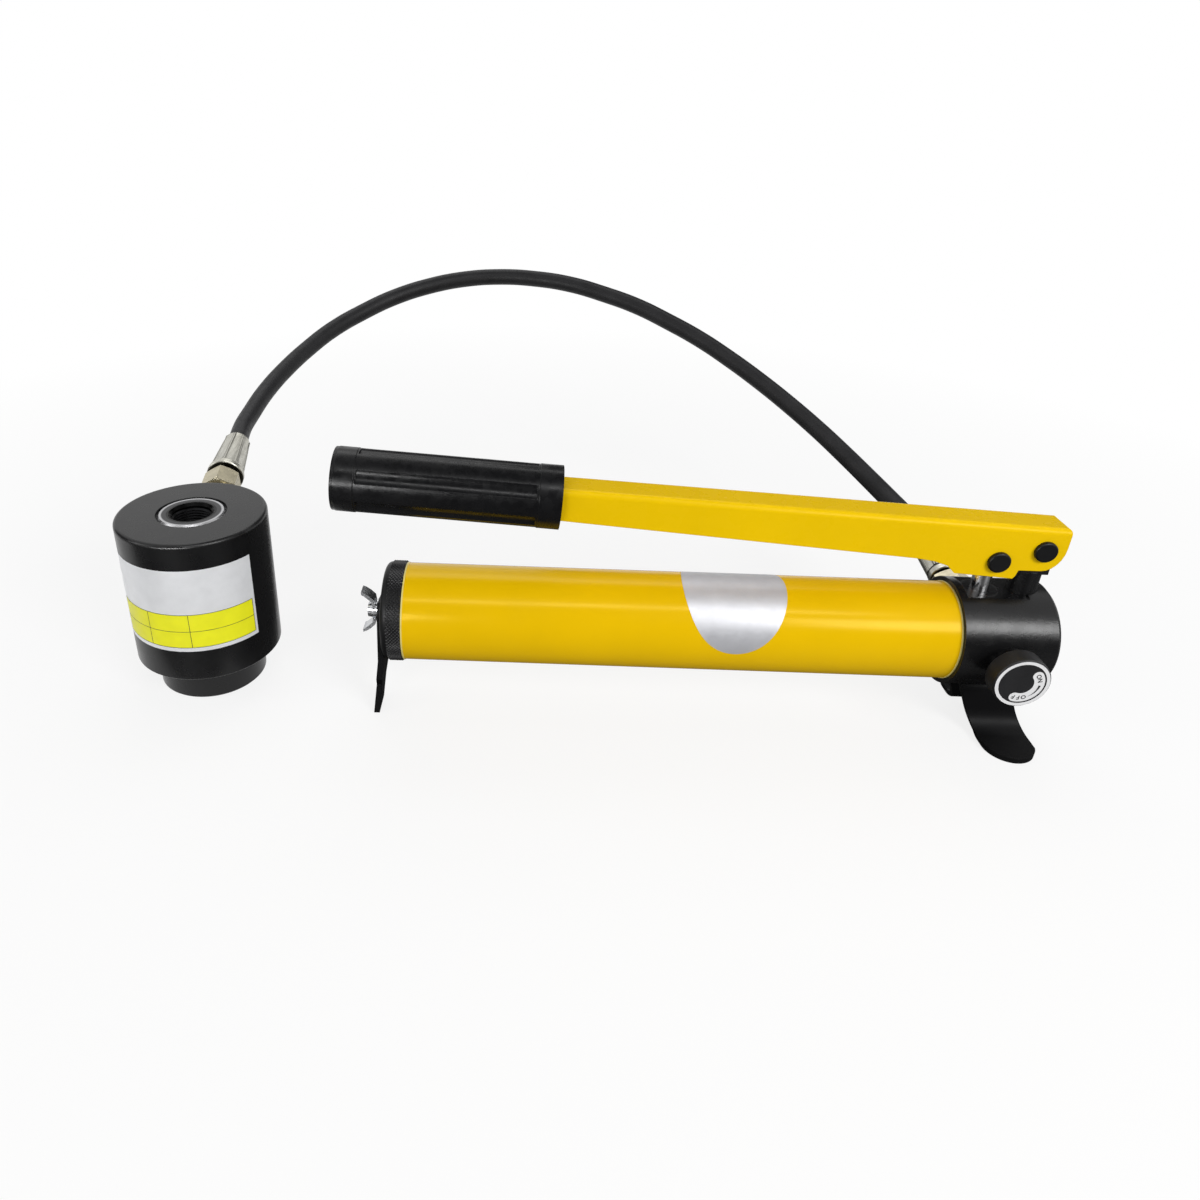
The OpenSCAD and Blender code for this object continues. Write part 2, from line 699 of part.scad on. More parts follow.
// Pump head, bored for the plunger and its valves
module pump_head() {
    color(black_paint)
    difference() {
        union() {
            on_pump(head_x) {
                cylinder(r = head_r, h = head_len - head_chamfer);
                translate([0, 0, head_len - head_chamfer])
                    cylinder(r1 = head_r, r2 = head_r - head_chamfer, h = head_chamfer);
            }
            on_pump(suction_x) cylinder(r = spigot_r, h = spigot_len + cut);
        }
        on_pump(head_x - groove_at) o_ring_groove(spigot_r);
        // Flats for the gland and the foot, and the post's seat
        translate([plunger_x - gland_d / 2 - 1, pump_y - head_r, head_top_z])
            cube([fulcrum_x - plunger_x + gland_d / 2 + 1, head_d, head_r]);
        translate([fulcrum_x, pump_y, head_top_z]) cylinder(r = post_d / 2 + fit_gap, h = head_r);
        translate([head_x + foot_in - 1, pump_y - head_r, 0]) cube([foot_w + 2, head_d, foot_top_z]);
        // Plunger bore, seal, gland and chamber
        translate([plunger_x, pump_y, 0]) {
            translate([0, 0, chamber_low_z]) cylinder(r = plunger_r + run_gap, h = head_r * 3);
            translate([0, 0, chamber_low_z]) cylinder(r = chamber_wide_r, h = chamber_top_z - chamber_low_z);
            translate([0, 0, head_top_z - gland_len - seal_w]) cylinder(r = plunger_seal_r, h = seal_w + cut);
            translate([0, 0, head_top_z - gland_len]) cylinder(r = gland_d / 2, h = gland_len + cut);
        }
        // Post's thread
        translate([fulcrum_x, pump_y, head_top_z - post_seat]) cylinder(r = post_d / 2 - 1, h = post_seat + cut);
        // Release valve, its passage and the return to the tank
        on_release(release_face_y - head_r) cylinder(r = collar_r, h = collar_seat_y - release_face_y + head_r);
        on_release(release_face_y) cylinder(r = release_bore_r, h = release_in_y - release_face_y);
        on_release(release_face_y) cylinder(r = passage_r, h = pump_y + delivery_seat_t + 1 - release_face_y);
        translate([suction_x - cut, release_in_y - 5, release_z]) rotate([0, 90, 0])
            cylinder(r = passage_r, h = release_x - suction_x + cut);
        // Suction valve
        translate([suction_x - cut, pump_y, suction_z]) rotate([0, 90, 0]) {
            cylinder(r = valve_r, h = suction_end_x - suction_x + cut);
            cylinder(r = passage_r, h = plunger_x - suction_x);
        }
        // Delivery valve and outlet port
        on_outlet(outlet_seat_t) cylinder(r = spot_r, h = head_r);
        on_outlet(delivery_seat_t) cylinder(r = max(port_r, valve_r), h = head_r);
        on_outlet(0) cylinder(r = seat_hole_r, h = head_r);
        // Relief valve
        translate([relief_in_x, relief_y, relief_z]) rotate([0, 90, 0]) cylinder(r = relief_r, h = head_len);
        translate([outlet_x, relief_y, relief_z]) rotate([0, 90, 0]) cylinder(r = passage_r, h = head_len / 2);
        // Foot's screws
        for (x = foot_screw_x)
            translate([x, pump_y, 0]) cylinder(r = foot_screw_r + fit_gap, h = foot_top_z + foot_screw_len);
    }
}
module head_o_ring() { color(black_rubber) on_pump(head_x - groove_at) o_ring(spigot_r); }

// Bent plate under the head: a flat top and two curled legs
foot_screw_r = 2.5;
foot_screw_len = 8;
foot_screw_x = [head_x + foot_in + foot_w * 0.25, head_x + foot_in + foot_w * 0.75];
module front_foot_leg() {
    leg_at = 7;
    bend_in = 0.5;
    curl_r = 10;
    curl_z = curl_r + foot_t;
    bend_z = foot_top_z - foot_t - bend_in;
    curl_at = leg_at + bend_in + foot_t + curl_r;
    translate([-cut, foot_top_z - foot_t]) square([leg_at + cut, foot_t]);
    intersection() {
        translate([leg_at, bend_z]) difference() {
            circle(bend_in + foot_t);
            circle(bend_in);
        }
        translate([leg_at, bend_z]) square(foot_t + bend_in);
    }
    translate([leg_at + bend_in, curl_z]) square([foot_t, bend_z - curl_z]);
    intersection() {
        translate([curl_at, curl_z]) difference() {
            circle(curl_z);
            circle(curl_r);
        }
        translate([curl_at - curl_z, 0]) square(curl_z);
    }
    translate([curl_at, 0]) square([toe_reach - curl_at, foot_t]);
}
module front_foot() {
    x0 = head_x + foot_in;
    toe_x = x0 + toe_lean + foot_w / 2;
    toe_at = toe_reach - foot_w / 2;
    color(black_paint)
    difference() {
        intersection() {
            translate([x0 - foot_w, pump_y, 0]) rotate([90, 0, 90]) linear_extrude(foot_w * 3) {
                front_foot_leg();
                mirror([1, 0]) front_foot_leg();
            }
            translate([0, pump_y + toe_reach + cut, 0]) rotate([90, 0, 0]) linear_extrude(2 * toe_reach + 2 * cut)
                polygon([
                    [x0, foot_top_z + cut], [x0 + foot_w, foot_top_z + cut], [x0 + foot_w, foot_top_z - foot_t],
                    [x0 + foot_w + toe_lean, foot_t / 2], [x0 + foot_w + toe_lean, -cut],
                    [x0 + toe_lean, -cut], [x0 + toe_lean, foot_t / 2], [x0, foot_top_z - foot_t]
                ]);
            translate([0, pump_y, -cut]) linear_extrude(foot_top_z + 2 * cut) {
                translate([x0 - foot_w, -toe_at]) square([foot_w * 3, 2 * toe_at]);
                for (side = [-1, 1])
                    translate([toe_x, side * toe_at]) circle(foot_w / 2);
            }
        }
        for (x = foot_screw_x)
            translate([x, pump_y, 0]) cylinder(r = foot_screw_r + fit_gap, h = foot_top_z + cut);
    }
}
module foot_screws() {
    head_h = 3;
    color(bright_steel)
    for (x = foot_screw_x)
        translate([x, pump_y, foot_top_z - foot_t - head_h]) {
            difference() {
                cylinder(r = foot_screw_r * 1.7, h = head_h);
                translate([0, 0, -cut]) cylinder(r = foot_screw_r * 0.9, h = head_h * 0.6 + cut, $fn = 6);
            }
            cylinder(r = foot_screw_r, h = head_h + foot_t + foot_screw_len - 1);
        }
}

// Post that carries the lever's fulcrum
post_seat = 14;
tenon_below = 2.5;
tenon_z = fulcrum_z - lever_skirt - tenon_below;
module fulcrum_post() {
    color(black_paint)
    difference() {
        union() {
            translate([fulcrum_x, pump_y, head_top_z - post_seat])
                cylinder(r = post_d / 2 - 1 - fit_gap, h = post_seat + cut);
            translate([fulcrum_x, pump_y, head_top_z]) cylinder(r = post_d / 2, h = tenon_z - head_top_z);
            intersection() {
                translate([fulcrum_x, pump_y, tenon_z - cut]) cylinder(r = post_d, h = fulcrum_up);
                across_lever(tenon_t) {
                    circle(post_d / 2);
                    translate([-post_d / 2, tenon_z - cut - fulcrum_z]) square([post_d, fulcrum_z - tenon_z + cut]);
                }
                translate([fulcrum_x - post_d, pump_y - post_d / 2, 0]) cube([2 * post_d, post_d, fulcrum_z * 2]);
            }
        }
        through_lever(fulcrum_x, fulcrum_z, pump_y - post_d) cylinder(r = pin_d / 2 + run_gap, h = 2 * post_d);
    }
}

// Headed pin through the lever, with its clip's groove at the far side
clip_t = 1.2;
clip_gap = 0.4;
pin_out = 3.5;
module lever_pin(x, z) {
    difference() {
        union() {
            through_lever(x, z, lever_near_y) cylinder(r = pin_d / 2, h = lever_w + pin_out);
            through_lever(x, z, lever_near_y) mirror([0, 0, 1]) slug(pin_head_d / 2, pin_head_h, pin_head_h * 0.45);
        }
        through_lever(x, z, lever_far_y + clip_gap) turned_ring(pin_d, pin_d / 2 - 1, clip_t);
    }
}
module fulcrum_pin() { color(black_paint) lever_pin(fulcrum_x, fulcrum_z); }
module plunger_pin() { color(black_paint) lever_pin(plunger_x, plunger_pin_z); }
module pin_clips() {
    color(dark_steel)
    for (at = [[fulcrum_x, fulcrum_z], [plunger_x, plunger_pin_z]])
        through_lever(at[0], at[1], lever_far_y + clip_gap + 0.1) difference() {
            turned_ring(pin_d / 2 + 2, pin_d / 2 - 1 + fit_gap, clip_t - 0.2);
            translate([-pin_d / 3, 0, -cut]) cube([pin_d / 1.5, pin_d, clip_t + 2 * cut]);
        }
}

// Heights of the lever's top and lower edge, measured from the fulcrum pin
function lever_top(x) = lever_crown - x * tan(top_slope);
function lever_low(x) = -lever_skirt - x * tan(low_slope);
ear_front = 9.2;
ear_back = 19.8;

// Side view of the lever about its fulcrum pin, open at the top where the fold bounds it
module lever_side() {
    above = 2;
    nose_r = 1.5;
    chin_back = 9.5;
    chin_top = 1.5;
    nose_at = lever_nose - nose_r;
    nose_mid = [nose_at, lever_top(nose_at) - nose_r];
    ear_z = -pin_drop - ear_below;
    ear_fore = -pin_back + ear_front;
    ear_aft = -pin_back - ear_back;
    polygon([
        [-tang_end, lever_top(-tang_end) + above],
        [nose_at - 2 * nose_r, lever_top(nose_at - 2 * nose_r) + above],
        for (turn = [75 : -15 : 0]) nose_mid + nose_r * [cos(turn), sin(turn)],
        for (turn = [0 : 15 : 90])
            [lever_nose - chin_back * (1 - cos(turn)), chin_top - (lever_skirt + chin_top) * sin(turn)],
        [ear_fore + 1.8, -lever_skirt],
        [ear_fore + 1, ear_z + 1.5],
        [ear_fore, ear_z],
        [ear_aft, ear_z + 2],
        [ear_aft - 4, ear_z + 6],
        [ear_aft - 11, lever_low(ear_aft - 11) - 0.6],
        [ear_aft - 20, lever_low(ear_aft - 20)],
        [-tang_end, lever_low(-tang_end)]
    ]);
}
// End view of the folded sheet, with its top at y = 0
module fold_profile() {
    depth = 60;
    difference() {
        union() {
            translate([-lever_w / 2, -depth]) square([lever_w, depth - bend_r]);
            translate([-lever_w / 2 + bend_r, -depth]) square([lever_w - 2 * bend_r, depth]);
            for (side = [-1, 1])
                translate([side * (lever_w / 2 - bend_r), -bend_r]) circle(bend_r);
        }
        translate([-lever_in_w / 2, -depth - cut]) square([lever_in_w, depth + cut - sheet_t]);
    }
}

// Lever folded from sheet, open below
module lever() {
    past = 10;
    run = tang_end + lever_nose + 2 * past;
    color(pump_yellow)
    difference() {
        intersection() {
            across_lever(lever_w + 2 * cut) lever_side();
            translate([fulcrum_x, pump_y, fulcrum_z + lever_crown]) rotate([0, top_slope, 0])
                translate([-tang_end - past, 0, 0]) rotate([90, 0, 90]) linear_extrude(run) fold_profile();
        }
        through_lever(fulcrum_x, fulcrum_z, pump_y - lever_w) cylinder(r = pin_d / 2 + fit_gap, h = 2 * lever_w);
        through_lever(plunger_x, plunger_pin_z, pump_y - lever_w)
            cylinder(r = pin_d / 2 + fit_gap, h = 2 * lever_w);
    }
}

// Fluted grip pushed on the lever's tang
module grip() {
    start_z = (lever_top(-grip_reach) + lever_low(-grip_reach)) / 2;
    flute_at = grip_d / 2 - flute_depth + flute_r;
    flute_end = collar_len + 1;
    tang_clear = 0.15;
    mouth = -grip_reach + 20;
    color(black_rubber)
    difference() {
        translate([fulcrum_x - grip_reach, pump_y, fulcrum_z + start_z]) rotate([0, grip_slope - 90, 0]) {
            difference() {
                union() {
                    cylinder(r = grip_d / 2, h = grip_len);
                    cylinder(r = (grip_d + collar_extra) / 2, h = collar_len);
                    translate([0, 0, grip_len - collar_len]) slug((grip_d + collar_extra) / 2, collar_len, 2);
                }
                for (k = [0 : flutes - 1])
                    rotate([0, 0, 360 * k / flutes]) translate([flute_at, 0, flute_end])
                        cylinder(r = flute_r, h = grip_len - 2 * flute_end);
            }
        }
        across_lever(lever_w + 2 * tang_clear)
            polygon([
                [-tang_end - tang_clear, lever_top(-tang_end) + tang_clear],
                [mouth, lever_top(mouth) + tang_clear],
                [mouth, lever_low(mouth) - tang_clear],
                [-tang_end - tang_clear, lever_low(-tang_end) - tang_clear]
            ]);
    }
}

// Plunger with a flat eye, slotted along the pump for the swing of its pin
module plunger() {
    eye_h = 2 * slot_half + 2 * eye_wall;
    eye_aft = slot_aft + slot_half + eye_wall;
    eye_fore = slot_fore + slot_half + eye_wall;
    color(bright_steel)
    difference() {
        union() {
            translate([plunger_x, pump_y, plunger_low_z]) cylinder(r = plunger_r, h = eye_low_z - plunger_low_z + cut);
            translate([plunger_x - eye_aft, pump_y - tenon_t / 2, eye_low_z]) cube([eye_aft + eye_fore, tenon_t, eye_h]);
        }
        translate([plunger_x, pump_y - tenon_t, plunger_pin_z + slot_up]) rotate([-90, 0, 0]) {
            for (x = [-slot_aft, slot_fore])
                translate([x, 0, 0]) cylinder(r = slot_half, h = 2 * tenon_t);
            translate([-slot_aft, -slot_half, 0]) cube([slot_aft + slot_fore, 2 * slot_half, 2 * tenon_t]);
        }
    }
}
module plunger_gland() {
    color(black_paint)
    translate([plunger_x, pump_y, head_top_z - gland_len])
        turned_ring(gland_d / 2 - fit_gap, plunger_r + run_gap, gland_len);
}
module plunger_seal() {
    color(black_rubber)
    translate([plunger_x, pump_y, head_top_z - gland_len - seal_w])
        turned_ring(plunger_seal_r - fit_gap, plunger_r + run_gap, seal_w);
}

// Suction side: filter, pipe, seat, ball and spring
pipe_r = 3.5;
pipe_len = 42;
filter_len = 20;
module on_suction(x) { translate([x, pump_y, suction_z]) rotate([0, 90, 0]) children(); }
module suction_filter() {
    color(brass)
    on_suction(suction_x - pipe_len - filter_len + 6) difference() {
        cylinder(r = pipe_r + 3, h = filter_len);
        translate([0, 0, 2]) cylinder(r = pipe_r + 1.5, h = filter_len - 8);
        translate([0, 0, filter_len - 6 - cut]) cylinder(r = pipe_r + fit_gap, h = 6 + 2 * cut);
    }
}
module suction_pipe() {
    color(dark_steel) on_suction(suction_x - pipe_len) turned_ring(pipe_r, seat_hole_r, pipe_len);
}
module suction_seat() {
    color(brass) on_suction(suction_x) turned_ring(valve_r - fit_gap, seat_hole_r, seat_len);
}
suction_ball_x = suction_x + seat_len + ball_seat;
module suction_ball() { color(bright_steel) on_suction(suction_ball_x) sphere(ball_r); }
module suction_spring() {
    from_x = suction_ball_x + ball_r + seat_gap;
    color(dark_steel) on_suction(from_x) coil(suction_end_x - from_x, valve_r - 2.2, 0.7, 4);
}

// Delivery side: ball and spring under the outlet adapter
module delivery_ball() { color(bright_steel) on_outlet(delivery_seat_t + ball_seat) sphere(ball_r); }
module delivery_spring() {
    from_t = delivery_seat_t + ball_seat + ball_r + seat_gap;
    color(dark_steel) on_outlet(from_t) coil(adapter_in_t - from_t, port_r - 1.4, 0.7, 4);
}

// Release valve: stem with a needle end, knob, its set screw and the gland
stem_in_knob = knob_t - 3;
knob_hub_r = 4;
module release_stem() {
    needle = 2;
    body_end = release_in_y - needle - 1;
    color(dark_steel)
    difference() {
        union() {
            on_release(knob_back_y - stem_in_knob)
                cylinder(r = knob_hub_r, h = collar_seat_y - knob_back_y + stem_in_knob);
            on_release(collar_seat_y) cylinder(r = stem_r, h = body_end - collar_seat_y);
            on_release(body_end - cut) cylinder(r = passage_r + 1.5, h = cut + 1);
            on_release(body_end + 1) cylinder(r1 = passage_r + 1.5, r2 = passage_r - 0.6, h = needle);
        }
        on_release(stem_ring_y) o_ring_groove(stem_r);
    }
}
module stem_o_ring() { color(black_rubber) on_release(stem_ring_y) o_ring(stem_r); }
module release_knob() {
    color(black_paint)
    difference() {
        on_release(knob_back_y) mirror([0, 0, 1]) slug(knob_d / 2, knob_t, 1);
        on_release(knob_back_y - stem_in_knob) cylinder(r = knob_hub_r + fit_gap, h = stem_in_knob + cut);
        on_set_screw(0) cylinder(r = set_screw_r + fit_gap, h = knob_d);
    }
}
set_screw_r = 2;
// Places the knob's set screw, which points down, at a distance from the stem's axis
module on_set_screw(out) {
    translate([release_x, knob_back_y - stem_in_knob / 2, release_z - out]) rotate([180, 0, 0]) children();
}
module knob_set_screw() {
    color(dark_steel)
    on_set_screw(knob_hub_r + 0.2) difference() {
        cylinder(r = set_screw_r, h = 7);
        translate([0, 0, 5]) cylinder(r = set_screw_r / 2, h = 3, $fn = 6);
    }
}
module release_gland() {
    color(black_paint)
    on_release(collar_face_y)
        turned_ring(collar_r - fit_gap, knob_hub_r + run_gap, collar_seat_y - collar_face_y);
}

// Relief valve in the head's end
module on_relief(x) { translate([x, relief_y, relief_z]) rotate([0, 90, 0]) children(); }
relief_ball_x = relief_in_x + sqrt(relief_ball_r * relief_ball_r - passage_r * passage_r) + seat_gap;
relief_sunk = 0.5;
relief_screw_x = head_x + head_len - relief_screw_len - relief_sunk;
module relief_ball() { color(bright_steel) on_relief(relief_ball_x) sphere(relief_ball_r); }
module relief_spring() {
    from_x = relief_ball_x + relief_ball_r + seat_gap;
    color(dark_steel) on_relief(from_x) coil(relief_screw_x - from_x, relief_r - 1.5, 1, 4);
}
module relief_screw() {
    color(dark_steel)
    on_relief(relief_screw_x) difference() {
        cylinder(r = relief_r - fit_gap, h = relief_screw_len);
        translate([-relief_r, -0.6, relief_screw_len - 1.5]) cube([2 * relief_r, 1.2, 2]);
    }
}

cylinder_body();
cylinder_rear_cap();
ram();
piston_seal();
rod_seal();
dust_wiper();
return_spring();
inlet_adapter();
hose_nut_punch();
hose_ferrule_punch();
hose();
hose_ferrule_pump();
hose_nut_pump();
outlet_adapter();
reservoir_tube();
end_cap();
end_cap_o_ring();
wing_screw();
wing_washer();
rear_foot();
pump_head();
head_o_ring();
front_foot();
foot_screws();
fulcrum_post();
fulcrum_pin();
plunger_pin();
pin_clips();
lever();
grip();
plunger();
plunger_gland();
plunger_seal();
suction_filter();
suction_pipe();
suction_seat();
suction_ball();
suction_spring();
delivery_ball();
delivery_spring();
release_knob();
release_stem();
stem_o_ring();
knob_set_screw();
release_gland();
relief_ball();
relief_spring();
relief_screw();
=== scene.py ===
"""Looks of a hydraulic hole punch: a lever hand pump, its hose and the punch cylinder that it drives."""

import math

import bmesh
import bpy
from bpy.props import FloatProperty, FloatVectorProperty, IntProperty, PointerProperty
from mathutils import Matrix, Vector


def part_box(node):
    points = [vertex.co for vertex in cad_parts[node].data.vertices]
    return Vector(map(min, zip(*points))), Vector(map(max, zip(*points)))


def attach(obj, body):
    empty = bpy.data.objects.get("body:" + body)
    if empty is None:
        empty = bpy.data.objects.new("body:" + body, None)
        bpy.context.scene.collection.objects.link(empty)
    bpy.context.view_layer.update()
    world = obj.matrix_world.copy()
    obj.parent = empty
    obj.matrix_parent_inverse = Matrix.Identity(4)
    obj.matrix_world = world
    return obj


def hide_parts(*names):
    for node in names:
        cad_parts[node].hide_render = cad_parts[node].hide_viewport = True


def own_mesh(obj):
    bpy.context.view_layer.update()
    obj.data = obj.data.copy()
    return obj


bl_info = {
    "name": "Hydraulic Hole Punch",
    "version": (1, 0, 0),
    "blender": (4, 5, 0),
    "location": "3D View > Sidebar > Hole Punch",
    "description": "Dresses the packed hole punch with its finishes, hose, label and small fittings",
    "category": "Object",
}

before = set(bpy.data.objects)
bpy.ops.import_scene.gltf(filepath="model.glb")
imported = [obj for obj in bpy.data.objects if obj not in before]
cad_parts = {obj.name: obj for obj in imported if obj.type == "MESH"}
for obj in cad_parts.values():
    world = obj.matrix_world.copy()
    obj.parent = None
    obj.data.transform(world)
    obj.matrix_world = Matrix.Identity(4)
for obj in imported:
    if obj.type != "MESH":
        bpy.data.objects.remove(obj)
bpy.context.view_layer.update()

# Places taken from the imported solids, in metres
tank_low, tank_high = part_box("reservoir_tube")
TANK_MID = (tank_low + tank_high) / 2
TANK_R = (tank_high.z - tank_low.z) / 2
cap_low, cap_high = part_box("end_cap")
CAP_R = (cap_high.z - cap_low.z) / 2
body_low, body_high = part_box("cylinder_body")
PUNCH_R = (body_high.x - body_low.x) / 2
RAM_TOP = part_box("ram")[1].z
knob_low, knob_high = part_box("release_knob")
KNOB_MID = (knob_low + knob_high) / 2
KNOB_R = (knob_high.x - knob_low.x) / 2

# Hose ports: the point on the axis where the ferrule meets its nut, and the direction towards the hose
PUNCH_PORT = (Vector((-0.00741, 0.07051, 0.08476)), Vector((-0.10351, 0.98484, 0.13917)))
PUMP_PORT = (Vector((0.41, 0.02285, 0.05918)), Vector((0.0, 0.98481, 0.17365)))

# How far a moving piece presses its spring together
RAM_TRAVEL = 0.025
BALL_LIFT = 0.001

# Route of the hose's middle from ferrule to ferrule, in millimetres
HOSE_ROUTE = [
    (-12.03, 114.44, 90.97), (-14.31, 136.10, 94.03), (-13.5, 150.5, 97), (-10, 177.5, 104),
    (-2.5, 203.5, 112), (9, 228, 121), (24, 250, 130.5), (43.5, 268.5, 139.5), (65.5, 283.5, 148),
    (91, 294.5, 155), (118, 300.5, 160), (146.5, 302, 162.5), (174.5, 299, 162.5), (202, 292, 160.5),
    (228, 281.5, 156), (252.5, 269, 150.5), (275.5, 254, 143), (297, 238, 135), (317.5, 220, 125.5),
    (336, 201, 116), (353.5, 181, 106), (369.5, 160, 96), (384, 137.5, 86), (396.5, 114, 77),
    (406, 88.5, 70.5), (410, 74.65, 68.31), (410, 66.78, 66.92),
]

# How far each printed layer lies above what carries it
FOIL_LIFT = 0.00005
TABLE_LIFT = 0.00009
LINE_LIFT = 0.00012
STICKER_LIFT = 0.00008
RING_LIFT = 0.00004
RING_END_LIFT = 0.00005
INK_LIFT = 0.00009

# The studio's white: as it is seen, and as it lights the object
WHITE_SEEN = 1.0
WHITE_GIVEN = 0.30

# Colour sockets of the Mix node: its two inputs and its output
MIX_FIRST = 6
MIX_SECOND = 7
MIX_OUT = 2


class PunchSizes(bpy.types.PropertyGroup):
    """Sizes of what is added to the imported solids."""

    hose_diameter: FloatProperty(
        name="Hose", description="Outside diameter of the hose", default=0.012, unit="LENGTH")
    label_low: FloatProperty(
        name="Label foot", description="Height of the label's lower edge", default=0.0373, unit="LENGTH")
    label_high: FloatProperty(
        name="Label head", description="Height of the label's upper edge", default=0.0845, unit="LENGTH")
    label_from: FloatProperty(
        name="Label start", description="Direction of the label's first edge", default=math.radians(-150),
        subtype="ANGLE")
    label_to: FloatProperty(
        name="Label end", description="Direction of the label's last edge", default=math.radians(-28),
        subtype="ANGLE")
    sticker_half: FloatProperty(
        name="Sticker half width", description="Half the sticker's width along the tank", default=0.026,
        unit="LENGTH")
    sticker_reach: FloatProperty(
        name="Sticker reach", description="Half the sticker's length round the tank", default=0.0384,
        unit="LENGTH")
    sticker_at: FloatProperty(
        name="Sticker place", description="Place of the sticker along the pump", default=0.279, unit="LENGTH")
    knurl_teeth: IntProperty(
        name="Knurl", description="Teeth of the knurl round the end cap", default=80, min=40)
    crimp_flats: IntProperty(
        name="Crimp flats", description="Flats that the press leaves on a ferrule", default=8, min=6)
    stud_pitch: FloatProperty(
        name="Stud thread", description="Pitch of the thread for the draw stud", default=0.0015,
        unit="LENGTH")
    knob_ring: FloatProperty(
        name="Knob ring", description="Width of the white ring on the release knob", default=0.0016,
        unit="LENGTH")
    return_wire: FloatProperty(
        name="Return spring wire", description="Wire of the spring under the ram", default=0.0032,
        unit="LENGTH")
    return_turns: IntProperty(
        name="Return spring turns", description="Turns of the spring under the ram", default=6, min=3)
    valve_wire: FloatProperty(
        name="Valve spring wire", description="Wire of the springs behind the balls", default=0.0007,
        unit="LENGTH")
    valve_turns: IntProperty(
        name="Valve spring turns", description="Turns of the springs behind the balls", default=4, min=2)


class PunchColours(bpy.types.PropertyGroup):
    """Colours of the finishes."""

    tank_yellow: FloatVectorProperty(
        name="Yellow paint", description="Paint of the tank", default=(0.84, 0.515, 0.0015),
        subtype="COLOR", min=0, max=1)
    lever_yellow: FloatVectorProperty(
        name="Lever paint", description="Paint of the lever", default=(0.87, 0.56, 0.0015),
        subtype="COLOR", min=0, max=1)
    body_black: FloatVectorProperty(
        name="Black paint", description="Paint of the punch, the head and the feet",
        default=(0.0065, 0.0065, 0.007), subtype="COLOR", min=0, max=1)
    grip_black: FloatVectorProperty(
        name="Grip", description="Moulded plastic of the grip", default=(0.0045, 0.0045, 0.005),
        subtype="COLOR", min=0, max=1)
    hose_black: FloatVectorProperty(
        name="Hose cover", description="Rubber of the hose", default=(0.014, 0.014, 0.015),
        subtype="COLOR", min=0, max=1)
    label_foil: FloatVectorProperty(
        name="Label foil", description="Pale foil of the label", default=(0.88, 0.89, 0.91),
        subtype="COLOR", min=0, max=1)
    label_yellow: FloatVectorProperty(
        name="Label yellow", description="Printed cells of the label", default=(0.96, 0.94, 0.006),
        subtype="COLOR", min=0, max=1)
    nut_nickel: FloatVectorProperty(
        name="Nuts", description="Plating of the hose nuts", default=(0.56, 0.51, 0.37),
        subtype="COLOR", min=0, max=1)


# Finishes

def new_finish(name):
    """A material, its node tree, its shader and the object coordinates."""
    finish = bpy.data.materials.new(name)
    finish.use_nodes = True
    tree = finish.node_tree
    coords = tree.nodes.new("ShaderNodeTexCoord").outputs["Object"]
    return finish, tree, tree.nodes["Principled BSDF"], coords


def stretched(tree, coords, scale):
    """The coordinates scaled by axis, for grain that runs one way."""
    mapping = tree.nodes.new("ShaderNodeMapping")
    mapping.inputs["Scale"].default_value = scale
    tree.links.new(coords, mapping.inputs["Vector"])
    return mapping.outputs["Vector"]


def grain(tree, coords, scale, detail=2.0):
    """Noise of that many grains to the metre."""
    noise = tree.nodes.new("ShaderNodeTexNoise")
    noise.inputs["Scale"].default_value = scale
    noise.inputs["Detail"].default_value = detail
    tree.links.new(coords, noise.inputs["Vector"])
    return noise.outputs["Fac"]


def ranged(tree, value, low, high, start=0.3, end=0.7):
    """A value from start to end as one from low to high."""
    node = tree.nodes.new("ShaderNodeMapRange")
    for socket, number in (("From Min", start), ("From Max", end), ("To Min", low), ("To Max", high)):
        node.inputs[socket].default_value = number
    tree.links.new(value, node.inputs["Value"])
    return node.outputs["Result"]


def mixed(tree, share, first, second):
    """A colour between two colours."""
    node = tree.nodes.new("ShaderNodeMix")
    node.data_type = "RGBA"
    node.inputs[MIX_FIRST].default_value = (*first, 1)
    node.inputs[MIX_SECOND].default_value = (*second, 1)
    tree.links.new(share, node.inputs[0])
    return node.outputs[MIX_OUT]


def raised(tree, shader, height, strength, distance, edge=0.0):
    """Small relief on the surface, with its sharp edges rounded where a radius is given."""
    node = tree.nodes.new("ShaderNodeBump")
    if edge:
        rounding = tree.nodes.new("ShaderNodeBevel")
        rounding.samples = 6
        rounding.inputs["Radius"].default_value = edge
        tree.links.new(rounding.outputs["Normal"], node.inputs["Normal"])
    node.inputs["Strength"].default_value = strength
    node.inputs["Distance"].default_value = distance
    tree.links.new(height, node.inputs["Height"])
    tree.links.new(node.outputs["Normal"], shader.inputs["Normal"])


def shaded(colour, share):
    """A colour times a share."""
    return tuple(c * share for c in colour)


def sprayed_paint(name, colour, gloss, peel, sheen, drift=0.88, tint=(1, 1, 1), edge=0.0004):
    """Sprayed paint with a slow drift in shade, patches of haze and orange peel."""
    finish, tree, shader, coords = new_finish(name)
    share = ranged(tree, grain(tree, coords, 26, 3), 0, 1)
    tree.links.new(mixed(tree, share, colour, shaded(colour, drift)), shader.inputs["Base Color"])
    haze = ranged(tree, grain(tree, coords, 120, 4), gloss - 0.025, gloss + 0.04)
    tree.links.new(haze, shader.inputs["Roughness"])
    raised(tree, shader, grain(tree, coords, 620, 2), peel, 0.0004, edge)
    shader.inputs["Specular IOR Level"].default_value = sheen
    shader.inputs["Specular Tint"].default_value = (*tint, 1)
    return finish


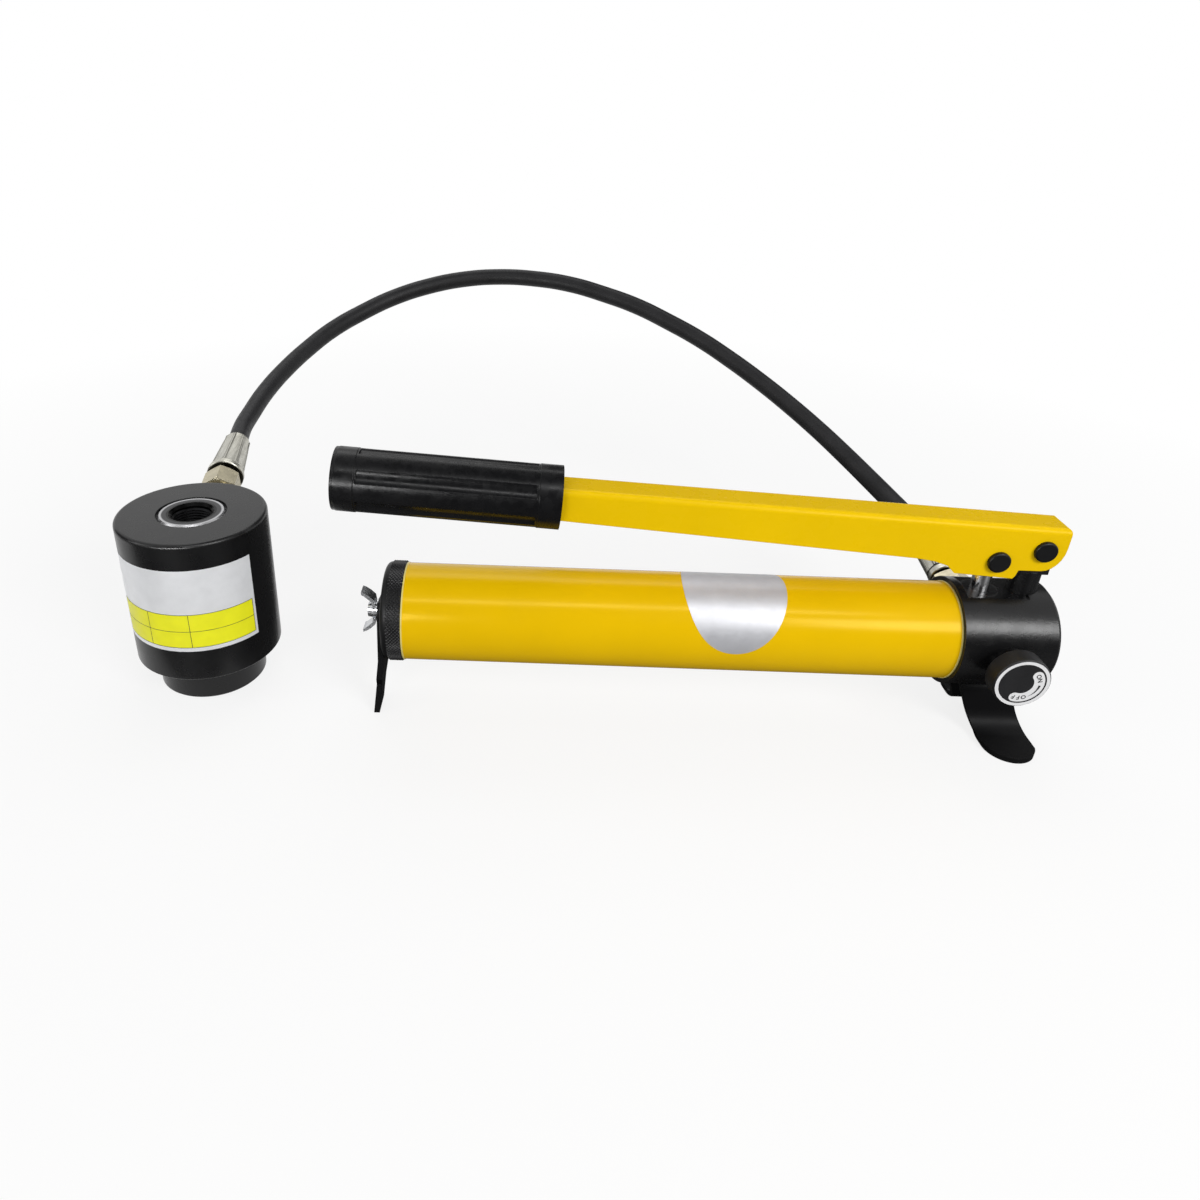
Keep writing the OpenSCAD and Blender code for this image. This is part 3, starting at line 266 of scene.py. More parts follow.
def machined_metal(name, colour, rough, run=(1, 1, 1), mark=0.25):
    """Bare or plated metal with tool marks along one direction."""
    finish, tree, shader, coords = new_finish(name)
    marks = grain(tree, stretched(tree, coords, run), 900, 3)
    stain = ranged(tree, grain(tree, coords, 90, 4), 0, 1)
    tree.links.new(mixed(tree, stain, colour, shaded(colour, 0.78)), shader.inputs["Base Color"])
    tree.links.new(ranged(tree, marks, rough - 0.06, rough + 0.12), shader.inputs["Roughness"])
    raised(tree, shader, marks, mark, 0.00008)
    shader.inputs["Metallic"].default_value = 1
    return finish


def moulded(name, colour, rough, skin, grains, sheen=0.15, edge=0.0):
    """Moulded rubber or plastic with a fine skin and rubbed patches."""
    finish, tree, shader, coords = new_finish(name)
    rubbed = ranged(tree, grain(tree, coords, 55, 5), 0, 1)
    tree.links.new(mixed(tree, rubbed, colour, shaded(colour, 1.7)), shader.inputs["Base Color"])
    haze = ranged(tree, grain(tree, coords, 240, 4), rough - 0.07, rough + 0.1)
    tree.links.new(haze, shader.inputs["Roughness"])
    raised(tree, shader, grain(tree, coords, grains, 2), skin, 0.0002, edge)
    shader.inputs["Specular IOR Level"].default_value = sheen
    return finish


def printed_foil(name, colour, rough, metal):
    """Label foil with a faint grain."""
    finish, tree, shader, coords = new_finish(name)
    share = ranged(tree, grain(tree, coords, 140, 3), 0, 1)
    tree.links.new(mixed(tree, share, colour, shaded(colour, 0.93)), shader.inputs["Base Color"])
    haze = ranged(tree, grain(tree, coords, 500, 2), rough - 0.04, rough + 0.06)
    tree.links.new(haze, shader.inputs["Roughness"])
    raised(tree, shader, grain(tree, coords, 300, 2), 0.04, 0.0002)
    shader.inputs["Metallic"].default_value = metal
    return finish


def ram_steel():
    """Ram steel: near black over the stud's bore and its rim as painted shade, dark grey on the rest of the
    end face, and ground bright on its edge and side.
    """
    finish, tree, shader, coords = new_finish("ram_steel")
    across = tree.nodes.new("ShaderNodeVectorMath")
    across.operation = "LENGTH"
    tree.links.new(stretched(tree, coords, (1, 1, 0)), across.inputs[0])
    out = across.outputs["Value"]
    # Near black inside this radius is painted shade for the bore; dark grey out to the bright edge
    face = mixed(tree, ranged(tree, out, 0, 1, 0.0124, 0.0127), (0.006, 0.006, 0.006), (0.045, 0.045, 0.047))
    edge = mixed(tree, ranged(tree, out, 0, 1, 0.0146, 0.0152), (0, 0, 0), (0.44, 0.44, 0.45))
    tree.links.new(face, edge.node.inputs[MIX_FIRST])
    tree.links.new(edge, shader.inputs["Base Color"])
    tree.links.new(ranged(tree, grain(tree, coords, 400, 3), 0.24, 0.38), shader.inputs["Roughness"])
    rings = tree.nodes.new("ShaderNodeTexWave")
    rings.wave_type = "RINGS"
    rings.rings_direction = "Z"
    rings.inputs["Scale"].default_value = 700
    tree.links.new(coords, rings.inputs["Vector"])
    raised(tree, shader, rings.outputs["Fac"], 0.12, 0.00005)
    shader.inputs["Metallic"].default_value = 1
    return finish


def crimped_zinc():
    """Plated ferrule: streaked along its run, with painted shade beside the crimps and in the neck."""
    finish, tree, shader, coords = new_finish("ferrule_zinc")
    mark = tree.nodes.new("ShaderNodeAttribute")
    mark.attribute_name = "shade_mark"
    streak = ranged(tree, grain(tree, stretched(tree, coords, (1, 0.12, 1)), 500, 4), 0, 1)
    plate = mixed(tree, streak, (0.56, 0.55, 0.49), (0.40, 0.39, 0.34))
    # Painted shade: darker in the neck and in a strip beside each ridge of the crimps, where the mark is set
    painted_shade = mixed(tree, mark.outputs["Fac"], (0, 0, 0), (0.045, 0.042, 0.033))
    tree.links.new(plate, painted_shade.node.inputs[MIX_FIRST])
    tree.links.new(painted_shade, shader.inputs["Base Color"])
    tree.links.new(ranged(tree, grain(tree, coords, 300, 3), 0.26, 0.44), shader.inputs["Roughness"])
    raised(tree, shader, grain(tree, coords, 700, 2), 0.1, 0.0001)
    shader.inputs["Metallic"].default_value = 1
    return finish


def dress(finish, *nodes):
    """Gives CAD nodes a finish."""
    for node in nodes:
        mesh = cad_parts[node].data
        mesh.materials.clear()
        mesh.materials.append(finish)


# Shapes

def along(origin, direction):
    """Matrix that puts local Z on an axis."""
    return Matrix.Translation(origin) @ direction.to_track_quat("Z", "Y").to_matrix().to_4x4()


def chain(bm, points):
    """A chain of edges through points."""
    verts = [bm.verts.new(p) for p in points]
    edges = [bm.edges.new(pair) for pair in zip(verts, verts[1:])]
    return verts + edges


def polar(radius, turn, z):
    """Point at a radius, in a direction about Z and at a height."""
    return radius * math.cos(turn), radius * math.sin(turn), z


def spun(bm, geom, angle, steps, merge=False, climb=0.0):
    """Spins geometry about Z, with a climb at each step for a helix."""
    bmesh.ops.spin(
        bm, geom=geom, cent=(0, 0, 0), axis=(0, 0, 1), angle=angle, steps=steps, dvec=(0, 0, climb),
        use_merge=merge)


def turned(bm, profile, steps):
    """Turns a profile of radius and height pairs about Z."""
    spun(bm, chain(bm, [(r, 0, z) for r, z in profile]), math.tau, steps, merge=True)


def piece(name, bm, body, finish, place=None, sharp=40):
    """Makes an object from a bmesh, in place, that rides on a body."""
    if place is not None:
        bmesh.ops.transform(bm, matrix=place, verts=bm.verts)
    bmesh.ops.remove_doubles(bm, verts=bm.verts, dist=1e-7)
    bmesh.ops.recalc_face_normals(bm, faces=bm.faces)
    for face in bm.faces:
        face.smooth = True
    mesh = bpy.data.meshes.new(name)
    bm.to_mesh(mesh)
    bm.free()
    mesh.set_sharp_from_angle(angle=math.radians(sharp))
    mesh.materials.append(finish)
    made = bpy.data.objects.new(name, mesh)
    bpy.context.scene.collection.objects.link(made)
    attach(made, body)
    return made


def wrapped_patch(bm, radius, start, end, low, high, steps):
    """Sheet on an upright cylinder about Z, between two directions and two heights."""
    spun(bm, chain(bm, [polar(radius, start, z) for z in (low, high)]), end - start, steps)


# Operators

class PUNCH_OT_stage(bpy.types.Operator):
    """Set the camera, the floor, the lamps and the world"""

    bl_idname = "punch.stage"
    bl_label = "Stage"

    def execute(self, context):
        self.camera(context)
        self.floor(context)
        self.lamps(context)
        self.flags(context)
        self.world(context)
        context.scene.view_settings.view_transform = "Standard"
        return {"FINISHED"}

    def camera(self, context):
        yaw, pitch, roll = -0.0061, 0.4683, 0.0317
        ahead = Vector((math.sin(yaw) * math.cos(pitch), math.cos(yaw) * math.cos(pitch), -math.sin(pitch)))
        right = Vector((math.cos(yaw), -math.sin(yaw), 0))
        up = right.cross(ahead)
        turned_right = math.cos(roll) * right + math.sin(roll) * up
        turned_up = -math.sin(roll) * right + math.cos(roll) * up
        lens = bpy.data.cameras.new("camera")
        lens.sensor_width = 36
        lens.lens = 26.602
        lens.shift_x = 0.06649
        lens.shift_y = -0.06406
        lens.clip_start = 0.01
        camera = bpy.data.objects.new("camera", lens)
        turn = Matrix((turned_right, turned_up, -ahead)).transposed().to_4x4()
        place = (0.17298, -0.40927, 0.30543)
        camera.matrix_world = Matrix.Translation(place) @ turn
        context.scene.collection.objects.link(camera)
        context.scene.camera = camera

    def floor(self, context):
        bm = bmesh.new()
        below = -0.0002
        bmesh.ops.create_circle(bm, cap_ends=True, segments=96, radius=14)
        bmesh.ops.translate(bm, vec=(0.2, 0, below), verts=bm.verts)
        mesh = bpy.data.meshes.new("floor")
        bm.to_mesh(mesh)
        bm.free()
        floor = bpy.data.objects.new("floor", mesh)
        context.scene.collection.objects.link(floor)
        finish, tree, shader, coords = new_finish("floor_card")
        shade = ranged(tree, grain(tree, coords, 3, 2), 0, 1)
        card = mixed(tree, shade, (0.88, 0.88, 0.88), (0.90, 0.90, 0.90))
        tree.links.new(card, shader.inputs["Base Color"])
        shader.inputs["Roughness"].default_value = 0.9
        shader.inputs["Specular IOR Level"].default_value = 0
        # Near the object the card takes its shadow, and further out it fades to the white of the world
        middle, near, far, near_share = (0.2, 0.05, 0), 0.30, 0.75, 0.82
        glow = tree.nodes.new("ShaderNodeEmission")
        tree.links.new(self.seen(tree, WHITE_SEEN, WHITE_GIVEN), glow.inputs["Strength"])
        away = tree.nodes.new("ShaderNodeVectorMath")
        away.operation = "DISTANCE"
        away.inputs[1].default_value = middle
        tree.links.new(coords, away.inputs[0])
        fade = tree.nodes.new("ShaderNodeMixShader")
        tree.links.new(ranged(tree, away.outputs["Value"], near_share, 1, near, far), fade.inputs[0])
        tree.links.new(shader.outputs["BSDF"], fade.inputs[1])
        tree.links.new(glow.outputs["Emission"], fade.inputs[2])
        tree.links.new(fade.outputs["Shader"], tree.nodes["Material Output"].inputs["Surface"])
        mesh.materials.append(finish)

    def seen(self, tree, shown, lighting):
        """One strength for what the camera, reflections and glass see, and another for the light given."""
        path = tree.nodes.new("ShaderNodeLightPath")
        total = path.outputs["Is Camera Ray"]
        for name in ("Is Glossy Ray", "Is Transmission Ray"):
            node = tree.nodes.new("ShaderNodeMath")
            node.operation = "MAXIMUM"
            tree.links.new(total, node.inputs[0])
            tree.links.new(path.outputs[name], node.inputs[1])
            total = node.outputs["Value"]
        return ranged(tree, total, lighting, shown, 0, 1)

    def lamps(self, context):
        """Softboxes that light the object, and strips that only shine on its edges."""
        for name, place, target, size, power, shine_only in (
            ("front_softbox", (0.98, -0.95, 0.80), (0.36, -0.03, 0.06), (0.62, 0.42), 12, False),
            ("top_softbox", (0.15, 0.80, 1.40), (0.20, 0.05, 0.05), (1.2, 0.8), 6, False),
            ("left_softbox", (-0.95, -0.35, 0.55), (0.05, 0.0, 0.06), (0.35, 0.6), 2.2, False),
            ("low_softbox", (-0.35, -1.15, 0.42), (0.0, 0.0, 0.10), (0.35, 0.3), 3.2, False),
            ("top_strip", (0.35, -0.66, 1.10), (0.25, -0.02, 0.07), (0.9, 0.12), 4, True),
            ("rim_strip", (-0.06, -0.33, 0.16), (0.0, -0.03, 0.095), (0.28, 0.05), 1.1, True),
        ):
            lamp = bpy.data.lights.new(name, "AREA")
            lamp.shape = "RECTANGLE"
            lamp.size, lamp.size_y = size
            lamp.energy = power
            made = bpy.data.objects.new(name, lamp)
            made.location = place
            made.rotation_euler = (Vector(target) - Vector(place)).to_track_quat("-Z", "Y").to_euler()
            made.visible_camera = False
            made.visible_diffuse = not shine_only
            context.scene.collection.objects.link(made)

    def flags(self, context):
        """Dark cards that only reflections show, as in a studio, so that metal isn't lost on the white."""
        finish, tree, shader, coords = new_finish("flag_cloth")
        shade = ranged(tree, grain(tree, coords, 5, 2), 0, 1)
        cloth = mixed(tree, shade, (0.03, 0.03, 0.03), (0.04, 0.04, 0.04))
        tree.links.new(cloth, shader.inputs["Base Color"])
        low = 0.0005
        for name, corners in (
            ("front_flag", ((-1.6, -1.6, 0.0), (2.2, -1.6, 0.0), (2.2, -1.6, 2.2), (-1.6, -1.6, 2.2))),
            ("back_flag", ((0.2, 0.8, 0.22), (1.3, 0.8, 0.22), (1.3, 0.8, 1.1), (0.2, 0.8, 1.1))),
            ("top_flag", ((-0.1, -0.45, 1.35), (0.9, -0.45, 1.35), (0.9, 0.7, 1.35), (-0.1, 0.7, 1.35))),
            ("table_flag",
             ((-0.6, -1.6, low), (1.2, -1.6, low), (1.2, 0.25, low), (0.05, 0.25, low),
              (0.05, -0.06, low), (-0.6, -0.06, low))),
            ("left_flag", ((-1.3, -0.9, 0.0), (-1.3, 0.7, 0.0), (-1.3, 0.7, 0.9), (-1.3, -0.9, 0.9))),
        ):
            bm = bmesh.new()
            bm.faces.new([bm.verts.new(corner) for corner in corners])
            mesh = bpy.data.meshes.new(name)
            bm.to_mesh(mesh)
            bm.free()
            mesh.materials.append(finish)
            flag = bpy.data.objects.new(name, mesh)
            context.scene.collection.objects.link(flag)
            flag.visible_camera = flag.visible_diffuse = flag.visible_shadow = False

    def world(self, context):
        world = bpy.data.worlds.new("studio")
        context.scene.world = world
        world.use_nodes = True
        tree = world.node_tree
        sky = tree.nodes["Background"]
        sky.inputs["Color"].default_value = (1, 1, 1, 1)
        tree.links.new(self.seen(tree, WHITE_SEEN, WHITE_GIVEN), sky.inputs["Strength"])


class PUNCH_OT_hose(bpy.types.Operator):
    """Lay the hose from the punch to the pump"""

    bl_idname = "punch.hose"
    bl_label = "Hose"

    def execute(self, context):
        sizes, colours = context.scene.punch_sizes, context.scene.punch_colours
        rubber = moulded("hose_rubber", colours.hose_black, rough=0.42, skin=0.25, grains=1500)
        line = bpy.data.curves.new("pressure_hose", "CURVE")
        line.dimensions = "3D"
        line.bevel_depth = sizes.hose_diameter / 2
        line.bevel_resolution = 8
        line.resolution_u = 8
        line.use_fill_caps = True
        spline = line.splines.new("BEZIER")
        spline.bezier_points.add(len(HOSE_ROUTE) - 1)
        for point, place in zip(spline.bezier_points, HOSE_ROUTE):
            point.co = [mm / 1000 for mm in place]
            point.handle_left_type = point.handle_right_type = "AUTO"
        line.materials.append(rubber)
        hose = bpy.data.objects.new("pressure_hose", line)
        context.scene.collection.objects.link(hose)
        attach(hose, "base")
        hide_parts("hose")
        return {"FINISHED"}


class PUNCH_OT_hose_fittings(bpy.types.Operator):
    bl_idname = "punch.hose_fittings"
    bl_label = "Hose fittings"

    def execute(self, context):
        sizes, colours = context.scene.punch_sizes, context.scene.punch_colours
        zinc = crimped_zinc()
        nickel = machined_metal("nut_nickel", colours.nut_nickel, 0.36)
        dress(nickel, "inlet_adapter", "hose_nut_punch", "hose_nut_pump", "outlet_adapter")
        made = [
            self.ferrule("crimped_ferrule_punch", "hose_ferrule_punch", PUNCH_PORT, sizes, zinc, flare=0.005),
            self.ferrule("crimped_ferrule_pump", "hose_ferrule_pump", PUMP_PORT, sizes, zinc, flare=0.0),
        ]
        return {"FINISHED"}

    def ferrule(self, name, node, port, sizes, finish, flare):
        """A crimped ferrule: a turned collar, a bell and a barrel with pressed flats."""
        bore_r, collar_r, barrel_r, mouth_r = 0.0005, 0.0062, 0.0082, 0.0055
        bell_r = barrel_r + flare / 2
        neck, end = 0.0036, 0.0446
        bell = end - 0.005 if flare else neck + 0.008
        bm = bmesh.new()
        turned(bm, [
            (bore_r, 0.0), (collar_r, 0.0), (collar_r, neck), (bell_r - 0.0006, neck),
            (bell_r, neck + 0.0006), (bell_r, neck + 0.0036), (bell_r - 0.0003, neck + 0.0042),
            (bell_r - 0.0004, neck + 0.006),
            (barrel_r + 0.0003, bell - 0.003), (barrel_r, bell), (barrel_r, end - 0.0012),
            (barrel_r - 0.0005, end - 0.0004), (barrel_r - 0.0012, end), (mouth_r, end),
        ], steps=sizes.crimp_flats * 12)
        step = math.tau / sizes.crimp_flats
        # This mark sets where the finish paints shade: 1 in the neck, and 0.8 in a strip beside each ridge
        shade_mark = bm.verts.layers.float.new("shade_mark")
        for vert in bm.verts:
            vert[shade_mark] = 1.0 if vert.co.z < neck + 0.0001 else 0.0
            if not neck + 0.005 < vert.co.z < end - 0.0008:
                continue
            # The flats are pressed in, and the ridges between them keep the full radius
            off = abs((math.atan2(vert.co.y, vert.co.x) % step) / step - 0.5)
            press = 0.94 + 0.06 * max(0.0, min(1.0, (off - 0.34) / 0.1))
            vert.co.x *= press
            vert.co.y *= press
            # A strip beside each ridge gets painted shade
            vert[shade_mark] = 0.8 if 0.38 < off < 0.46 else 0.0
        made = piece(name, bm, "base", finish, along(*port), sharp=20)
        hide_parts(node)
        return made


class PUNCH_OT_punch(bpy.types.Operator):
    """Paint the punch cylinder and finish its ram"""

    bl_idname = "punch.punch"
    bl_label = "Punch cylinder"

    def execute(self, context):
        sizes, colours = context.scene.punch_sizes, context.scene.punch_colours
        satin = sprayed_paint("punch_enamel", colours.body_black, gloss=0.28, peel=0.04, sheen=0.3, drift=0.8)
        dress(satin, "cylinder_body", "cylinder_rear_cap")
        dress(ram_steel(), "ram")
        oiled = machined_metal("oiled_steel", (0.016, 0.016, 0.017), 0.34)
        bm = bmesh.new()
        steps, turns = 40, 14
        mouth = RAM_TOP - 0.0016
        crest, root, pitch = 0.0091, 0.01, sizes.stud_pitch
        chain(bm, [(root, 0, mouth - turns * pitch + z) for z in (0.0, pitch)])
        bmesh.ops.subdivide_edges(bm, edges=bm.edges[:], cuts=1)
        for vert in bm.verts:
            if abs(vert.co.z - (mouth - (turns - 0.5) * pitch)) < pitch / 4:
                vert.co.x = crest
        wound = turns - 1
        spun(bm, bm.verts[:] + bm.edges[:], math.tau * wound, steps * wound, climb=pitch / steps)
        piece("stud_thread", bm, "ram", oiled, sharp=25)
        return {"FINISHED"}


class PUNCH_OT_label(bpy.types.Operator):
    """Stick the bare label on the punch cylinder"""

    bl_idname = "punch.label"
    bl_label = "Label"

    def execute(self, context):
        sizes, colours = context.scene.punch_sizes, context.scene.punch_colours
        foil = printed_foil("label_foil", colours.label_foil, 0.34, 0.15)
        yellow = printed_foil("label_yellow", colours.label_yellow, 0.4, 0.0)
        ink = printed_foil("label_ink", (0.05, 0.055, 0.02), 0.5, 0.0)
        edges = (sizes.label_from, sizes.label_to, sizes.label_low, sizes.label_high)
        self.patch("punch_label", FOIL_LIFT, *edges, foil)
        rows = (0.0397, 0.0493, 0.0592)
        columns = [math.radians(turn) for turn in (-147, -114.1, -81.4, -30.5)]
        left, right, low, high = columns[0], columns[-1], rows[0], rows[-1]
        self.patch("label_table", TABLE_LIFT, left, right, low, high, yellow)
        thin, long_steps = 0.0003, 60
        half = thin / 2 / PUNCH_R
        lines = [(left, right, z - thin / 2, z + thin / 2, long_steps) for z in rows]
        lines += [(turn - half, turn + half, low, high, 1) for turn in columns]
        bm = bmesh.new()
        for start, end, foot, head, steps in lines:
            wrapped_patch(bm, PUNCH_R + LINE_LIFT, start, end, foot, head, steps)
        piece("label_lines", bm, "base", ink)
        return {"FINISHED"}

    def patch(self, name, lift, start, end, low, high, finish):
        bm = bmesh.new()
        wrapped_patch(bm, PUNCH_R + lift, start, end, low, high, 72)
        piece(name, bm, "base", finish)


class PUNCH_OT_tank(bpy.types.Operator):
    """Paint the tank, dress its ends and stick the bare silver oval on it"""

    bl_idname = "punch.tank"
    bl_label = "Oil tank"

    def execute(self, context):
        sizes, colours = context.scene.punch_sizes, context.scene.punch_colours
        gloss = sprayed_paint(
            "tank_gloss", colours.tank_yellow, gloss=0.20, peel=0.012, sheen=0.22, drift=0.95,
            tint=(1, 0.85, 0.25))
        dress(gloss, "reservoir_tube")
        pale = sprayed_paint("rim_paint", (0.80, 0.68, 0.22), gloss=0.3, peel=0.05, sheen=0.3, drift=0.9)
        axis = Vector((1, 0, 0))
        bm = bmesh.new()
        for x, way in ((tank_low.x, 1), (tank_high.x, -1)):
            ring = bmesh.new()
            turned(ring, [
                (TANK_R - 0.0002, 0.0), (TANK_R + 0.00025, 0.0), (TANK_R + 0.0003, 0.0003),
                (TANK_R + 0.0002, 0.0007), (TANK_R - 0.0001, 0.0008)], steps=128)
            place = along(Vector((x, TANK_MID.y, TANK_MID.z)), axis * way)
            bmesh.ops.transform(ring, matrix=place, verts=ring.verts)
            mesh = bpy.data.meshes.new("rim")
            ring.to_mesh(mesh)
            ring.free()
            bm.from_mesh(mesh)
            bpy.data.meshes.remove(mesh)
        piece("tank_rims", bm, "base", pale)
        self.sticker(sizes)
        return {"FINISHED"}

    def sticker(self, sizes):
        """A flat disc of rings, bent round the tank and stretched to an oval."""
        silver = printed_foil("sticker_silver", (0.60, 0.605, 0.635), 0.46, 0.45)
        bm = bmesh.new()
        rings = 20
        start = chain(bm, [(i / rings, 0, 0) for i in range(rings + 1)])
        spun(bm, start, math.tau, steps=96, merge=True)
        bmesh.ops.remove_doubles(bm, verts=bm.verts, dist=1e-5)
        radius, lean = TANK_R + STICKER_LIFT, math.radians(81)
        for vert in bm.verts:
            x = sizes.sticker_at + vert.co.x * sizes.sticker_half
            turn = lean + vert.co.y * sizes.sticker_reach / TANK_R
            vert.co = (x, TANK_MID.y - radius * math.cos(turn), TANK_MID.z + radius * math.sin(turn))
        piece("tank_sticker", bm, "base", silver)


class PUNCH_OT_end_cap(bpy.types.Operator):
    """Knurl the end cap and finish what hangs on it"""

    bl_idname = "punch.end_cap"
    bl_label = "End cap"

    def execute(self, context):
        sizes, colours = context.scene.punch_sizes, context.scene.punch_colours
        black = sprayed_paint("cap_black", colours.body_black, gloss=0.40, peel=0.06, sheen=0.15, drift=0.8)
        dress(black, "end_cap")
        # The teeth are painted lighter than the cap's black paint, a painted highlight for their glints
        knurled = sprayed_paint(
            "knurl_black", shaded(colours.body_black, 2.2), gloss=0.22, peel=0.02, sheen=0.9, drift=0.8,
            edge=0.0)
        zinc = machined_metal("wing_zinc", (0.66, 0.67, 0.69), 0.18)
        dress(zinc, "wing_screw", "wing_washer")
        rows, band, inset = 4, 0.0070, 0.0032
        tooth, lift = 0.0010, 0.0002
        pitch = math.tau * CAP_R / sizes.knurl_teeth
        bm = bmesh.new()
        for row in range(rows * 2):
            made = bmesh.ops.create_cone(
                bm, cap_ends=False, segments=4, radius1=pitch * 0.56, radius2=0.0, depth=tooth)["verts"]
            bmesh.ops.scale(bm, vec=(band / rows / pitch * 0.98, 1, 1), verts=made)
            x = cap_low.x + inset + band * (row + 0.5) / (rows * 2)
            bmesh.ops.translate(bm, vec=(x, TANK_MID.y, TANK_MID.z + CAP_R + lift), verts=made)
            centre = Vector((0, TANK_MID.y, TANK_MID.z))
            shift = Matrix.Rotation(math.pi / sizes.knurl_teeth * (row % 2), 3, "X")
            bmesh.ops.rotate(bm, cent=centre, matrix=shift, verts=made)
            faces = {face for vert in made for face in vert.link_faces}
            edges = {edge for vert in made for edge in vert.link_edges}
            bmesh.ops.spin(
                bm, geom=[*made, *edges, *faces], cent=centre, axis=(1, 0, 0),
                angle=math.tau * (1 - 1 / sizes.knurl_teeth), steps=sizes.knurl_teeth - 1, use_duplicate=True)
        piece("cap_knurl", bm, "base", knurled, sharp=10)
        return {"FINISHED"}


class PUNCH_OT_lever(bpy.types.Operator):
    """Paint the lever and finish its grip and pins"""

    bl_idname = "punch.lever"
    bl_label = "Lever and grip"

    def execute(self, context):
        colours = context.scene.punch_colours
        paint = sprayed_paint(
            "lever_gloss", colours.lever_yellow, gloss=0.27, peel=0.004, sheen=0.16, drift=0.95,
            tint=(1, 0.85, 0.3), edge=0.0006)
        dress(paint, "lever")
        plastic = moulded(
            "grip_plastic", colours.grip_black, rough=0.26, skin=0.01, grains=900, sheen=0.17, edge=0.0005)
        dress(plastic, "grip")
        pins = sprayed_paint("pin_black", colours.body_black, gloss=0.36, peel=0.06, sheen=0.25, drift=0.8)
        dress(pins, "fulcrum_pin", "plunger_pin")
        dress(machined_metal("clip_steel", (0.20, 0.20, 0.21), 0.4), "pin_clips")
        return {"FINISHED"}


class PUNCH_OT_head(bpy.types.Operator):
    """Finish the pump head, its plunger and post"""

    bl_idname = "punch.head"
    bl_label = "Pump head"

    def execute(self, context):
        colours = context.scene.punch_colours
        satin = sprayed_paint("head_satin", colours.body_black, gloss=0.26, peel=0.1, sheen=0.32, drift=0.75)
        dress(satin, "pump_head", "fulcrum_post", "plunger_gland", "release_gland")
        chrome = machined_metal("plunger_chrome", (0.80, 0.80, 0.81), rough=0.12, run=(1, 1, 0.1), mark=0.05)
        dress(chrome, "plunger")
        dull = sprayed_paint("foot_black", colours.body_black, gloss=0.46, peel=0.08, sheen=0.08, drift=0.8)
        dress(dull, "front_foot", "rear_foot")
        dress(machined_metal("foot_screw_zinc", (0.60, 0.61, 0.63), 0.3), "foot_screws")
        return {"FINISHED"}


class PUNCH_OT_release_knob(bpy.types.Operator):
    """Finish the release knob and its printed ring, arc and words"""

    bl_idname = "punch.release_knob"
    bl_label = "Release knob"

    def execute(self, context):
        sizes = context.scene.punch_sizes
        black = moulded(
            "knob_plastic", (0.013, 0.013, 0.014), rough=0.42, skin=0.1, grains=1200, sheen=0.25, edge=0.0004)
        dress(black, "release_knob")
        dress(machined_metal("set_screw_steel", (0.22, 0.22, 0.23), 0.35), "knob_set_screw", "release_stem")
        white = printed_foil("knob_white", (0.82, 0.82, 0.83), 0.45, 0.0)
        ink = printed_foil("knob_ink", (0.03, 0.03, 0.03), 0.5, 0.0)
        # Local X is the frame's X, local Y is up, and local Z points out of the knob's face
        upright = Matrix.Rotation(math.radians(90), 4, "X")
        face = Matrix.Translation((KNOB_MID.x, knob_low.y, KNOB_MID.z)) @ upright
        bm = bmesh.new()
        outer = KNOB_R - 0.0007
        turned(bm, [(outer - sizes.knob_ring, RING_LIFT), (outer, RING_LIFT)], steps=96)
        self.arc(bm, inner=0.0054, outer=0.0104, start=-105, end=38)
        piece("knob_print", bm, "release_valve", white, face)
        bm = bmesh.new()
        for words, middle in (("OFF", -90), ("ON", 26)):
            self.word(bm, words, math.radians(middle), radius=0.0079, size=0.0030)
        self.wedge(bm, radius=0.0083, start=-58, end=-4, width=0.0011)
        piece("knob_words", bm, "release_valve", ink, face)
        return {"FINISHED"}

    def arc(self, bm, inner, outer, start, end):
        """A flat band with round ends."""
        first, last = math.radians(start), math.radians(end)
        middle, half = (inner + outer) / 2, (outer - inner) / 2
        edge = chain(bm, [polar(r, first, RING_LIFT) for r in (inner, middle, outer)])
        spun(bm, edge, last - first, steps=48)
        for turn in (first, last):
            disc = bmesh.ops.create_circle(bm, cap_ends=True, segments=24, radius=half)["verts"]
            bmesh.ops.translate(bm, vec=polar(middle, turn, RING_END_LIFT), verts=disc)

    def wedge(self, bm, radius, start, end, width):
        """A thin line along an arc that widens towards its end."""
        first, last = math.radians(start), math.radians(end)
        edge = chain(bm, [polar(r, first, INK_LIFT) for r in (radius - width / 2, radius + width / 2)])
        before = set(bm.verts) - set(edge)
        spun(bm, edge, last - first, steps=24)
        for vert in set(bm.verts) - before:
            turn = math.atan2(vert.co.y, vert.co.x)
            share = 0.1 + 0.9 * (turn - first) / (last - first)
            out = radius + (math.hypot(vert.co.x, vert.co.y) - radius) * share
            vert.co.x, vert.co.y = out * math.cos(turn), out * math.sin(turn)

    def word(self, bm, words, middle, radius, size):
        """Letters set along an arc, with their tops outwards."""
        step = size * 0.82 / radius
        for index, letter in enumerate(words):
            curve = bpy.data.curves.new("letter", "FONT")
            curve.body = letter
            curve.size = size
            curve.offset = size * 0.03
            curve.align_x = curve.align_y = "CENTER"
            holder = bpy.data.objects.new("letter", curve)
            bpy.context.scene.collection.objects.link(holder)
            depsgraph = bpy.context.evaluated_depsgraph_get()
            mesh = bpy.data.meshes.new_from_object(holder.evaluated_get(depsgraph))
            turn = middle - step * (index - (len(words) - 1) / 2)
            lean = Matrix.Rotation(turn - math.pi / 2, 4, "Z")
            mesh.transform(Matrix.Translation(polar(radius, turn, INK_LIFT)) @ lean)
            bm.from_mesh(mesh)
            bpy.data.objects.remove(holder)
            bpy.data.curves.remove(curve)
            bpy.data.meshes.remove(mesh)


